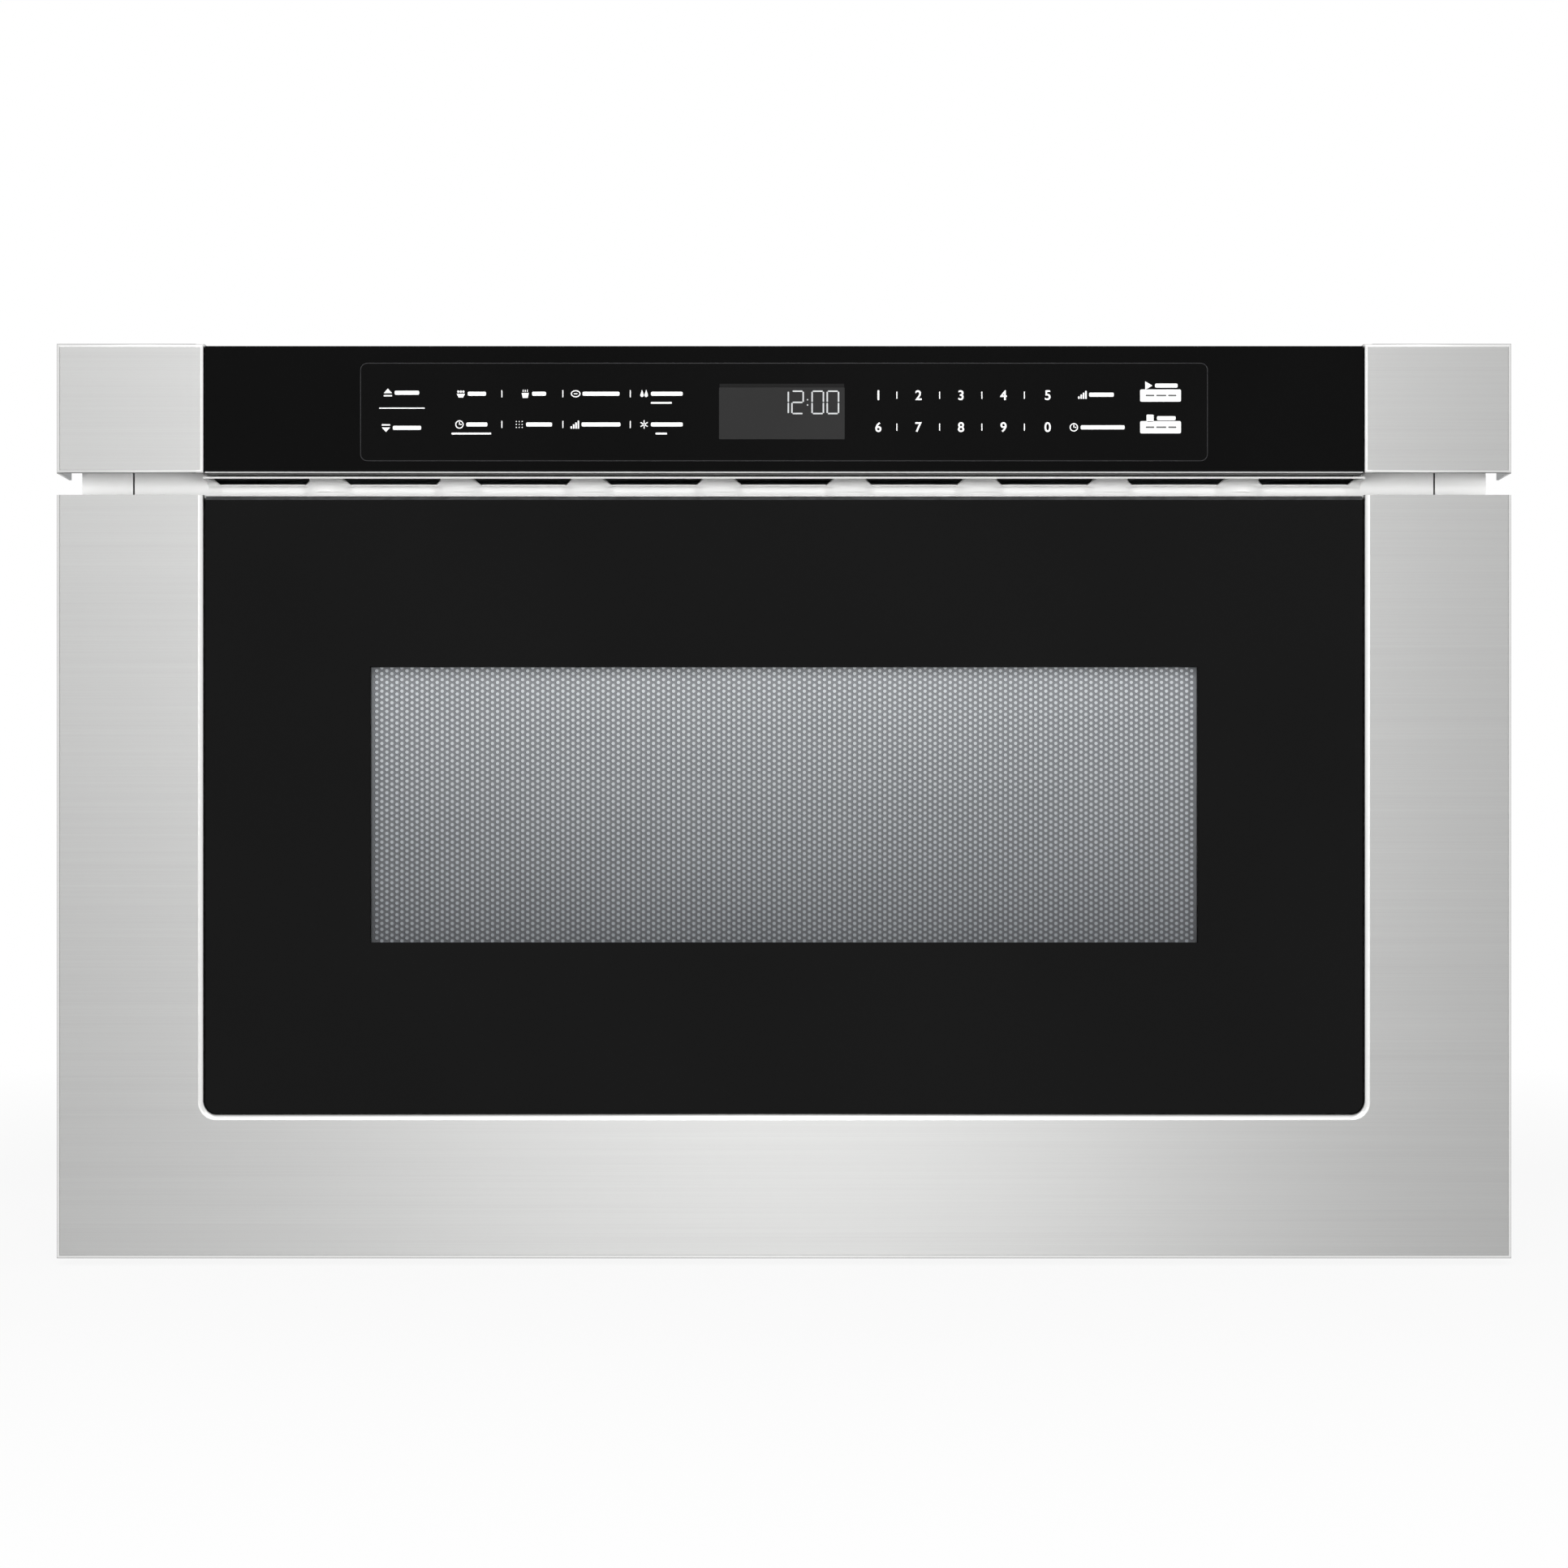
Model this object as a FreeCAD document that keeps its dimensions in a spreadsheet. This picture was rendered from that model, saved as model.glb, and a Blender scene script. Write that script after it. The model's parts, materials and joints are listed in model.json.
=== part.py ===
"""Microwave drawer: a built-in oven. Its tub and door slide out on rails under a fixed control panel.

The frame: X runs across the front, +Y into the cabinet, +Z up. The origin is at the bottom centre of the
whole object, on the plane that its feet stand on. All sizes are in millimetres. Texts such as
"case_width / 2" are expressions over the named sizes of the sheet, so a piece follows when a size changes.
"""

import FreeCAD
import Part
import Sketcher
import math
import os
import re

SIZES = [
    # the visible front
    ("front_width", 606),         # door and control panel, 23 7/8 inches
    ("door_height", 318),
    ("front_gap", 9),             # air gap between the door and the control panel
    ("panel_height", 54),         # control panel
    ("door_lift", 3),             # door's lower edge above the plane of the feet
    ("face_depth", 40),           # front face to the mounting flange
    ("overall_depth", 592),
    ("column_width", 61.5),       # steel beside the glass, on the door and on the panel
    ("bottom_rail", 60),          # steel below the door glass
    ("steel", 1),                 # stainless sheet of the front
    ("edge_round", 1.5),          # outer bends of the stainless sheet
    ("rim_width", 3.5),           # turned-in rim beside the glass
    ("rim_round", 2.5),
    ("shell_depth", 34),          # door, front to back
    ("glass_recess", 1.5),
    ("glass_thick", 4),
    ("glass_gap", 0.4),           # between the glass and its rim
    ("glass_corner", 5),
    ("ground_edge", 1.6),         # ground bevel along the top of the door glass
    ("window_width", 345),
    ("window_height", 115),
    ("window_rise", 134.5),       # window's lower edge above the feet
    # the case
    ("case_width", 556),
    ("case_height", 370),
    ("service_depth", 121),       # behind the cavity, to the outside of the rear panel
    ("sheet", 1),                 # painted and galvanised sheet
    ("foot_height", 7),
    ("foot_radius", 13),
    ("foot_inset", 40),
    ("foot_taper", 2),
    ("rear_gap", 8),              # how far the cord grommet stands out behind the case
    ("lip", 12),                  # turned front edge of the top cover
    ("lip_inset", 2),
    ("louvre_count", 7),
    ("louvre_pitch", 12),
    ("louvre_height", 4),
    ("louvre_rise", 240),
    ("louvre_margin", 25.5),      # from the slots of the side panels to the cavity and the rear panel
    ("louvre_inset", 10),         # from the ends of the rear slots to the fan's tips
    ("flange_width", 595),
    ("flange_leg", 38),
    ("flange_low", 12),
    ("flange_drop", 25),          # flange's upper end below the top of the case
    ("screw_hole", 5),            # diameter of the holes for the cabinet screws
    ("screw_low", 60),
    ("screw_rise", 230),
    ("seam", 0.7),                # open joint between sheets
    ("clearance", 0.3),           # between pieces that only have to clear each other
    ("running", 0.08),            # between a shaft and its bearing, on the radius
    # the vents in the bent top of the front plate
    ("vent_count", 9),
    ("vent_pitch", 55.2),
    ("vent_top", 43),
    ("vent_bottom", 34),
    ("vent_drop", 2.5),           # how far the openings run down the bend
    ("vent_flange", 22),
    ("vent_edge", 2.5),           # sheet left in front of the openings
    ("vent_end", 2.5),            # bent part of the sheet beyond the glass of the panel
    ("bend", 4),
    # the cooking cavity and the tub
    ("cavity_width", 440),
    ("cavity_height", 181),
    ("cavity_floor", 100),
    ("mouth_sill", 6),            # front plate below the mouth
    ("stand_width", 300),
    ("stand_set", 40),
    ("stand_foot", 20),
    ("cavity_sheet", 0.8),
    ("tub_gap", 5),               # between the tub and the cavity, at the sides and the back
    ("tub_lift", 4),
    ("tub_height", 156),
    ("tub_wall", 2),
    ("tub_corner", 12),
    ("tub_foot_round", 4),
    ("tray_thick", 4),
    ("tray_gap", 2.5),
    ("glide_width", 36),
    ("glide_length", 24),
    ("glide_inset", 20),
    # the door's inner parts
    ("choke_width", 32),          # choke ring round the mouth
    ("choke_cover_thick", 4.5),
    ("screen_set", 10),           # perforated screen behind the front face
    ("screen_sheet", 0.8),
    ("screen_margin", 14),        # screen tray beyond the window
    ("pane_thick", 3),
    ("pane_margin", 8),
    ("liner_edge", 6.5),          # liner reaching past the glass
    # the slides
    ("rail_length", 440),
    ("rail_height", 45),
    ("rail_rise", 44),            # centre line of the slides above the feet
    ("rail_depth", 11.2),
    ("rail_sheet", 1.2),
    ("rail_setback", 5),          # slide's front end behind the front plate
    ("middle_height", 33),
    ("middle_set", 5),            # distances from the side panel to the nested members of a slide
    ("middle_depth", 6),
    ("inner_height", 21),
    ("inner_set", 7.4),
    ("inner_depth", 4.3),
    ("outer_cage_set", 2.6),
    ("inner_cage_set", 6.3),
    ("outer_ball_set", 7.4),
    ("inner_ball_set", 9.3),
    ("outer_cage_depth", 7.1),
    ("inner_cage_depth", 4.1),
    ("cage_thick", 0.8),
    ("cage_end", 1),
    ("ball_radius", 2.1),
    ("ball_pitch", 36),
    ("ball_count", 7),            # balls in each row
    ("arm_sheet", 1.5),
    ("arm_height", 48),
    ("arm_flange", 16),
    ("arm_tab", 44),
    ("notch_clearance", 2),       # between the arms and the notches of the lower panel
    # the drive
    ("drawer_travel", 375),
    ("tooth_module", 1.5),
    ("pinion_teeth", 18),
    ("tooth_play", 0.2),          # backlash of the pinion in the rack
    ("rack_width", 10),
    ("rack_back", 6),             # rack body above its teeth
    ("rack_rise", 38),            # pitch line of the rack above the feet
    ("pinion_setback", 31),       # pinion axis behind the flange face
    ("pinion_face", 12),
    ("drive_shaft", 6),
    ("pinion_gap", 0.5),
    ("gearbox_gap", 1),
    ("shaft_reach", 5),           # how far the driven shafts run into their motors
    ("bore_end", 1),              # room at the end of a shaft
    ("gearbox_length", 26),
    ("motor_radius", 15),
    ("motor_length", 58),
    # the microwave feed
    ("guide_width", 92),
    ("guide_height", 36),
    ("guide_front", 40),          # waveguide reaching forward of the stirrer's axis
    ("feed_radius", 28),
    ("stirrer_radius", 95),
    ("stirrer_blades", 4),
    ("stirrer_drop", 9),          # blades below the cavity's ceiling
    ("stirrer_hub", 15),
    ("blade_start", 6),
    ("blade_width", 34),
    ("blade_thick", 1.2),
    ("blade_tip", 12),            # bent end of a blade
    ("stirrer_shaft", 6),
    ("stirrer_size", 48),
    ("stirrer_motor_height", 14),
    ("ear_reach", 8),
    ("ear_width", 14),
    ("ear_thick", 1.5),
    ("cover_drop", 15),
    ("cover_size", 240),
    ("cover_thick", 1.5),
    ("magnetron_width", 92),
    ("magnetron_depth", 76),
    ("magnetron_height", 84),
    ("magnetron_back", 24),       # behind the cavity
    ("yoke_sheet", 2),
    ("fin_count", 8),
    ("fin_end", 16),
    ("fin_thick", 0.8),
    ("fin_inset", 3),
    ("anode_radius", 20),
    ("antenna_radius", 8),
    ("antenna_height", 24),
    ("antenna_gap", 1),
    # power parts and the cooling fan
    ("core_width", 92),
    ("core_depth", 66),
    ("core_height", 78),
    ("core_across", 160),
    ("coil_bulge", 14),
    ("coil_side", 18),
    ("coil_end", 16),
    ("capacitor_length", 96),
    ("capacitor_width", 32),
    ("capacitor_height", 54),
    ("capacitor_across", 20),
    ("fan_radius", 48),
    ("fan_blades", 5),
    ("fan_size", 106),
    ("fan_thick", 26),
    ("fan_hub", 17),
    ("fan_shaft", 5),
    ("fan_motor_radius", 24),
    ("fan_motor_length", 34),
    ("fan_inset", 3),
    ("fan_chord", 34),
    ("fan_blade_thick", 1.6),
    ("tip_gap", 2),
    ("spider_thick", 3),
    ("spider_width", 12),
    ("fan_rise", 190),
    ("fan_across", 130),
    ("duct_width", 58),
    ("duct_height", 46),
    ("duct_wall", 2),
    ("duct_across", 150),
    ("duct_set", 10),
    ("port_margin", 8),
    ("port_length", 60),
    # the control panel
    ("fascia_drop", 1),           # fascia below the top of the end caps
    ("fascia_recess", 0.5),
    ("fascia_thick", 4),
    ("strip_thick", 0.8),
    ("strip_depth", 14),
    ("overlay_width", 353),
    ("overlay_height", 41),
    ("overlay_thick", 0.4),
    ("overlay_corner", 3),
    ("housing_depth", 17),
    ("carrier_drop", 14),         # top of the panel's carrier below the top of the panel
    ("housing_wall", 1.8),
    ("keypad_drop", 1.5),         # keys and display below the middle of the panel
    ("post_across", 150),
    ("post_middle", 60),
    ("post_inset", 11),
    ("post_radius", 3),
    ("board_width", 320),
    ("board_margin", 6),
    ("board_thick", 1.6),
    ("display_width", 52.5),
    ("display_height", 23.5),
    ("display_across", 1),        # display's centre left of the middle
    ("display_thick", 4),
    # interlock, lamp, cord
    ("key_length", 24),
    ("key_width", 6),
    ("key_thick", 3),
    ("key_across", 262),
    ("key_rise", 190),
    ("key_clearance", 2),
    ("plunger_length", 6),
    ("plunger_width", 4),
    ("switch_length", 28),
    ("switch_thick", 10),
    ("switch_height", 18),
    ("bracket_width", 12),
    ("lamp_radius", 11),
    ("lamp_length", 36),
    ("lamp_set", 2),
    ("lamp_base", 8),
    ("lamp_room", 4),
    ("lamp_wall", 7),
    ("lamp_back", 60),            # lamp behind the stirrer's axis
    ("lamp_rise", 220),
    ("cord_hole", 4.2),
    ("cord_across", 200),
    ("cord_rise", 60),
    ("grommet_radius", 9),
    ("grommet_groove", 2),
    ("grommet_ring", 4),
    # fasteners
    ("screw_head", 4),
    ("head_height", 1.5),
    ("door_head_height", 2),
    ("case_row_low", 14),
    ("case_row_drop", 10),
    ("case_row_set", 60),
    ("rear_screw_inset", 12),
    ("rear_screw_low", 20),
    ("rear_screw_drop", 14),
    ("door_screw_inset", 14),
    ("door_screw_drop", 150),
    ("tab_screw_set", 30),
    ("tab_screw_half", 12),
]

doc = FreeCAD.newDocument("microwave_drawer")
sheet = doc.addObject("Spreadsheet::Sheet", "Sizes")
for row, (alias, number) in enumerate(SIZES, start=1):
    sheet.set(f"A{row}", alias)
    sheet.set(f"B{row}", str(number))
    sheet.setAlias(f"B{row}", alias)
doc.recompute()

ALIASES = {alias for alias, number in SIZES}
UP = FreeCAD.Vector(0, 0, 1)
PARTS = []


def size(alias):
    """The number that the sheet holds under this name."""
    return float(sheet.get(alias))


def bound(text):
    """The expression with each size written as a reference to the sheet."""
    return re.sub(r"[a-z_]\w*", lambda word: f"Sizes.{word[0]}" if word[0] in ALIASES else word[0], text)


def bind(thing, **properties):
    """Ties properties of an object to expressions. A double underscore in a name stands for a dot."""
    for name, text in properties.items():
        thing.setExpression(name.replace("__", "."), bound(str(text)))
    return thing


def place(thing, x="0", y="0", z="0"):
    """Ties an object's position to expressions."""
    return bind(thing, Placement__Base__x=x, Placement__Base__y=y, Placement__Base__z=z)


# ---- places, as expressions ------------------------------------------------------------------------------

FRONT = "(-overall_depth / 2)"
FLANGE = f"({FRONT} + face_depth)"                       # front face of the mounting flange
CABINET = f"({FLANGE} + sheet)"                          # plane that meets the cabinet's face
BACK = "(overall_depth / 2 - rear_gap)"                  # outside of the rear panel
HALF = "(front_width / 2)"
GLASS_HALF = f"({HALF} - column_width)"
CASE_HALF = "(case_width / 2)"
WALL = f"({CASE_HALF} - sheet)"                          # inner face of the side panels
DOOR_TOP = "(door_lift + door_height)"
PANEL_LOW = f"({DOOR_TOP} + front_gap)"
PANEL_TOP = f"({PANEL_LOW} + panel_height)"
PLATE_TOP = f"({PANEL_LOW} - clearance)"
DOOR_BACK = f"({FRONT} + shell_depth)"
BASE_TOP = "(foot_height + sheet)"
CAVITY_TOP = "(cavity_floor + cavity_height)"
CAVITY_BACK = f"({BACK} - service_depth)"
CAVITY_HALF = "(cavity_width / 2)"
ROOF = f"({CAVITY_TOP} + cavity_sheet)"                  # outside of the cavity's ceiling
TUB_HALF = f"({CAVITY_HALF} - tub_gap)"
TUB_LOW = "(cavity_floor + tub_lift)"
TUB_TOP = f"({TUB_LOW} + tub_height)"
TUB_BACK = f"({CAVITY_BACK} - tub_gap)"
WINDOW_TOP = "(window_rise + window_height)"
SCREEN = f"({FRONT} + screen_set)"
RAIL_FRONT = f"({CABINET} + rail_setback)"
RAIL_BACK = f"({RAIL_FRONT} + rail_length)"
PINION_Y = f"({FLANGE} + pinion_setback)"
PITCH_RADIUS = "(tooth_module * pinion_teeth / 2)"
PINION_Z = f"(rack_rise - {PITCH_RADIUS})"
STIRRER_Y = f"(({CABINET} + {CAVITY_BACK}) / 2)"
MAGNETRON_Y = f"({CAVITY_BACK} + magnetron_back + magnetron_depth / 2)"
GUIDE_TOP = f"({ROOF} + guide_height)"
REAR_MIDDLE = f"(({CAVITY_BACK} + {BACK}) / 2)"


# ---- makers ----------------------------------------------------------------------------------------------

def block(name, x, y, z):
    """A box between low and high expressions on each axis."""
    made = doc.addObject("Part::Box", name)
    bind(made, Length=f"{x[1]} - ({x[0]})", Width=f"{y[1]} - ({y[0]})", Height=f"{z[1]} - ({z[0]})")
    return place(made, x[0], y[0], z[0])


TURNS = {
    "X": FreeCAD.Rotation(FreeCAD.Vector(0, 1, 0), 90),
    "Y": FreeCAD.Rotation(FreeCAD.Vector(1, 0, 0), -90),
    "Z": FreeCAD.Rotation(),
}


def rod(name, axis, radius, low, high, x="0", y="0", z="0"):
    """A cylinder along an axis, from low to high on it. The place on that axis is left at its default."""
    made = doc.addObject("Part::Cylinder", name)
    made.Placement = FreeCAD.Placement(FreeCAD.Vector(), TURNS[axis])
    bind(made, Radius=radius, Height=f"{high} - ({low})")
    spot = {"X": x, "Y": y, "Z": z, axis: low}
    return place(made, spot["X"], spot["Y"], spot["Z"])


def fuse(name, *pieces):
    """One solid from several that touch."""
    made = doc.addObject("Part::MultiFuse", name)
    made.Shapes = list(pieces)
    made.Refine = True
    return made


def cut(name, base, *tools):
    """The base less the tools."""
    made = doc.addObject("Part::Cut", name)
    made.Base = base
    made.Tool = tools[0] if len(tools) == 1 else fuse(f"{name}_tools", *tools)
    return made


def group(name, *pieces):
    """Separate solids that share one node."""
    made = doc.addObject("Part::Compound", name)
    made.Links = list(pieces)
    return made


def part(label, thing):
    """Names a finished sub-part, which is written to a file of that name."""
    thing.Label = label
    PARTS.append(thing)
    return thing


def mirrored(low, high):
    """The span on the other side of the middle plane."""
    return f"-({high})", f"-({low})"


def side_span(side, low, high):
    """A span measured inward from the side panel's inner face, on the left (-1) or the right (1)."""
    outward = (f"{WALL} - ({high})", f"{WALL} - ({low})")
    return outward if side > 0 else mirrored(*outward)


def origin_plane(body, role):
    """One of a body's own origin planes."""
    return next(feature for feature in body.Origin.OriginFeatures if feature.Role == role)


PLANES = {"XY": "XY_Plane", "XZ": "XZ_Plane", "YZ": "YZ_Plane"}


def outline_sketch(body, plane, corners, height):
    """A closed outline whose corners are pairs of expressions, on an origin plane moved to a height."""
    name = f"{body.Name}_outline_{len(body.Group)}"
    sketch = body.newObject("Sketcher::SketchObject", name)
    sketch.AttachmentSupport = (origin_plane(body, PLANES[plane]), [""])
    sketch.MapMode = "FlatFace"
    bind(sketch, AttachmentOffset__Base__z=f"-({height})" if plane == "XZ" else height)
    spots = [tuple(number(text) for text in corner) for corner in corners]
    count = len(spots)
    for index, spot in enumerate(spots):
        following = spots[(index + 1) % count]
        sketch.addGeometry(Part.LineSegment(FreeCAD.Vector(*spot, 0), FreeCAD.Vector(*following, 0)))
    for index in range(count):
        sketch.addConstraint(Sketcher.Constraint("Coincident", index, 2, (index + 1) % count, 1))
    for index, (spot, corner) in enumerate(zip(spots, corners)):
        for kind, tag, amount, text in (("DistanceX", "across", spot[0], corner[0]),
                                        ("DistanceY", "along", spot[1], corner[1])):
            made = sketch.addConstraint(Sketcher.Constraint(kind, -1, 1, index, 1, amount))
            sketch.renameConstraint(made, f"{tag}{index}")
            sketch.setExpression(f"Constraints.{tag}{index}", bound(text))
    return sketch


probe = doc.addObject("Part::Box", "probe")


def number(text):
    """What an expression comes to now, read from the position of a probe."""
    place(probe, x=text)
    probe.recompute()
    return probe.Placement.Base.x


def extrude(body, plane, corners, low, high, cutting=False):
    """Pads or pockets an outline between two places on the axis square to its plane."""
    # The XZ plane's normal points to -Y, and a pocket cuts against its sketch's normal.
    against = (plane == "XZ") != cutting
    sketch = outline_sketch(body, plane, corners, high if against else low)
    feature = body.newObject("PartDesign::Pocket" if cutting else "PartDesign::Pad", f"{sketch.Name}_solid")
    feature.Profile = sketch
    bind(feature, Length=f"{high} - ({low})")
    before = body.Shape.Volume if cutting else 0
    doc.recompute()
    if cutting and body.Shape.Volume > before - 1e-6:
        raise ValueError(f"{feature.Name} cuts nothing")
    return feature


def rectangle(x, z):
    """The four corners of a rectangle from two spans."""
    return [(x[0], z[0]), (x[1], z[0]), (x[1], z[1]), (x[0], z[1])]


def round_edges(body, radius, chosen):
    """Fillets the edges of the body's tip that the test picks."""
    doc.recompute()
    tip = body.Tip
    names = [f"Edge{i}" for i, edge in enumerate(tip.Shape.Edges, start=1) if chosen(edge)]
    if not names:
        raise ValueError(f"{body.Name}: no edge to round")
    feature = body.newObject("PartDesign::Fillet", f"{body.Name}_fillet_{len(body.Group)}")
    feature.Base = (tip, names)
    bind(feature, Radius=radius)
    doc.recompute()
    if feature.Shape.isNull():
        raise ValueError(f"{feature.Name} could not be rounded")
    return feature


def straight(edge, axis):
    """Whether an edge is a line along the axis."""
    ends = [vertex.Point for vertex in edge.Vertexes]
    if len(ends) < 2 or edge.Curve.TypeId != "Part::GeomLine":
        return False
    along = ends[1] - ends[0]
    return abs(abs(along.normalize().dot(axis)) - 1) < 1e-6


def at(edge, axis, place_text, reach=0.05):
    """Whether the middle of an edge lies at this place on the axis (0, 1 or 2)."""
    return abs(edge.CenterOfGravity[axis] - number(place_text)) < reach


ALONG_X = FreeCAD.Vector(1, 0, 0)
ALONG_Y = FreeCAD.Vector(0, 1, 0)


def body_for(name):
    """A new PartDesign body."""
    return doc.addObject("PartDesign::Body", name)


def pattern(body, feature, axis_role, length, count):
    """Repeats the feature along an origin axis of the body, over a length, both ends included."""
    made = body.newObject("PartDesign::LinearPattern", f"{feature.Name}_row")
    made.Originals = [feature]
    axis = next(item for item in body.Origin.OriginFeatures if item.Role == axis_role)
    made.Direction = (axis, [""])
    bind(made, Length=length, Occurrences=count)
    body.Tip = made
    doc.recompute()
    return made


def around(centre, breadth):
    """A span of a breadth about a centre."""
    return f"{centre} - ({breadth}) / 2", f"{centre} + ({breadth}) / 2"


def grown(span, margin):
    """A span made longer at both ends."""
    return f"{span[0]} - ({margin})", f"{span[1]} + ({margin})"


def both(half):
    """A span about the middle plane."""
    return f"-({half})", half


PANEL_Z = (PANEL_LOW, PANEL_TOP)
WINDOW_X = both("window_width / 2")
WINDOW_Z = ("window_rise", WINDOW_TOP)


# ---- the door --------------------------------------------------------------------------------------------

def door_frame():
    """One folded sheet: two columns, a bottom rail, and a turned-in rim round three sides of the glass."""
    body = body_for("door_frame")
    extrude(body, "XZ", rectangle(both(HALF), ("door_lift", DOOR_TOP)), FRONT, DOOR_BACK)
    round_edges(body, "edge_round", lambda edge: at(edge, 1, FRONT) and not at(edge, 2, DOOR_TOP))
    inside = rectangle(both(f"{HALF} - steel"), ("door_lift + steel", f"{DOOR_TOP} - steel"))
    extrude(body, "XZ", inside, f"{FRONT} + steel", f"{DOOR_BACK} + 1", cutting=True)
    sill = "(door_lift + bottom_rail)"
    rim = rectangle(both(f"{GLASS_HALF} + rim_width"), (f"{sill} - rim_width", f"{DOOR_TOP} - steel"))
    glass_back = f"({FRONT} + glass_recess + glass_thick)"
    extrude(body, "XZ", rim, f"{FRONT} + steel", glass_back)
    opening = rectangle(both(GLASS_HALF), (sill, f"{DOOR_TOP} + 1"))
    extrude(body, "XZ", opening, f"{FRONT} - 1", glass_back, cutting=True)
    half = number(GLASS_HALF)
    round_edges(body, "glass_corner", lambda edge: straight(edge, ALONG_Y) and at(edge, 2, sill)
                and abs(abs(edge.CenterOfGravity.x) - half) < 0.05)
    low = number(sill) - 1
    high = number(DOOR_TOP) - 2
    round_edges(body, "rim_round", lambda edge: at(edge, 1, FRONT)
                and abs(edge.CenterOfGravity.x) < half + 0.5 and low < edge.CenterOfGravity.z < high)
    return body


part("door_frame", door_frame())


def door_glass():
    """Dark glass up to the top of the door, with a ground bevel along its top edge."""
    body = body_for("door_glass")
    gap = "glass_gap"
    across = both(f"{GLASS_HALF} - {gap}")
    sheet_of_glass = rectangle(across, (f"door_lift + bottom_rail + {gap}", f"{DOOR_TOP} - {gap}"))
    extrude(body, "XZ", sheet_of_glass, f"{FRONT} + glass_recess", f"{FRONT} + glass_recess + glass_thick")
    low = f"door_lift + bottom_rail + {gap}"
    round_edges(body, f"glass_corner - {gap}", lambda edge: straight(edge, ALONG_Y) and at(edge, 2, low))
    top = f"{DOOR_TOP} - {gap}"
    face = f"{FRONT} + glass_recess"
    tip = body.Tip
    names = [f"Edge{i}" for i, edge in enumerate(tip.Shape.Edges, start=1)
             if at(edge, 2, top) and at(edge, 1, face)]
    bevel = body.newObject("PartDesign::Chamfer", "door_glass_bevel")
    bevel.Base = (tip, names)
    bind(bevel, Size="ground_edge")
    return body


part("door_glass", door_glass())

GLASS_BACK = f"({FRONT} + glass_recess + glass_thick)"
DOOR_SHEET = f"({DOOR_BACK} - sheet)"                    # front face of the door's back sheet
TUB_FRONT = f"({DOOR_BACK} + choke_cover_thick)"

liner = block("liner_plate", both(f"{GLASS_HALF} + liner_edge"), (GLASS_BACK, SCREEN),
              ("door_lift + bottom_rail - liner_edge", f"{DOOR_TOP} - steel"))
liner_window = block("liner_window", WINDOW_X, (f"{GLASS_BACK} - 1", f"{SCREEN} + 1"), WINDOW_Z)
part("door_liner", cut("liner_cut", liner, liner_window))

screen_outer = block("screen_outer", grown(WINDOW_X, "screen_margin"), (SCREEN, DOOR_SHEET),
                     grown(WINDOW_Z, "screen_margin"))
screen_inner = block("screen_inner", grown(WINDOW_X, "screen_margin - screen_sheet"),
                     (f"{SCREEN} + screen_sheet", f"{DOOR_SHEET} + 1"),
                     grown(WINDOW_Z, "screen_margin - screen_sheet"))
part("door_screen", cut("screen_cut", screen_outer, screen_inner))

back_sheet = block("back_sheet", both(f"{HALF} - steel"), (DOOR_SHEET, DOOR_BACK),
                   ("door_lift + steel", f"{DOOR_TOP} - steel"))
back_window = block("back_window", WINDOW_X, (f"{DOOR_SHEET} - 1", f"{DOOR_BACK} + 1"), WINDOW_Z)
part("door_back", cut("back_cut", back_sheet, back_window))

PANE_X = grown(WINDOW_X, "pane_margin")
PANE_Z = grown(WINDOW_Z, "pane_margin")


def choke_cover():
    """The moulded cover of the wave trap round the mouth, with a rounded rim."""
    body = body_for("choke_cover")
    across = both(f"{CAVITY_HALF} + choke_width")
    height = ("cavity_floor - choke_width", f"{CAVITY_TOP} + choke_width")
    extrude(body, "XZ", rectangle(across, height), DOOR_BACK, TUB_FRONT)
    round_edges(body, "glass_corner", lambda edge: straight(edge, ALONG_Y))
    round_edges(body, "edge_round", lambda edge: at(edge, 1, TUB_FRONT))
    opening = rectangle(PANE_X, PANE_Z)
    extrude(body, "XZ", opening, f"{DOOR_BACK} - 1", f"{TUB_FRONT} + 1", cutting=True)
    return body


part("choke_cover", choke_cover())
part("inner_window", block("pane", PANE_X, (f"{TUB_FRONT} - pane_thick", TUB_FRONT), PANE_Z))


# ---- the tub ---------------------------------------------------------------------------------------------

def drawer_tub():
    """The open cooking tub: a deep tray with rounded corners and a window in its front wall."""
    body = body_for("drawer_tub")
    plan = rectangle(both(TUB_HALF), (TUB_FRONT, TUB_BACK))
    extrude(body, "XY", plan, TUB_LOW, TUB_TOP)
    floor = f"{TUB_LOW} + tub_wall"
    inside = rectangle(both(f"{TUB_HALF} - tub_wall"),
                       (f"{TUB_FRONT} + tub_wall", f"{TUB_BACK} - tub_wall"))
    extrude(body, "XY", inside, floor, f"{TUB_TOP} + 1", cutting=True)
    wall = number(f"{TUB_HALF} - tub_wall / 2")
    round_edges(body, "tub_corner - tub_wall", lambda edge: straight(edge, UP)
                and abs(edge.CenterOfGravity.x) < wall)
    round_edges(body, "tub_corner", lambda edge: straight(edge, UP)
                and at(edge, 2, f"({TUB_LOW} + {TUB_TOP}) / 2") and abs(edge.CenterOfGravity.x) > wall)
    round_edges(body, "tub_foot_round", lambda edge: at(edge, 2, TUB_LOW))
    round_edges(body, "tub_foot_round - tub_wall", lambda edge: at(edge, 2, floor))
    window = rectangle(WINDOW_X, WINDOW_Z)
    extrude(body, "XZ", window, f"{TUB_FRONT} - 1", f"{TUB_FRONT} + tub_wall + 1", cutting=True)
    return body


part("drawer_tub", drawer_tub())


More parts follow.
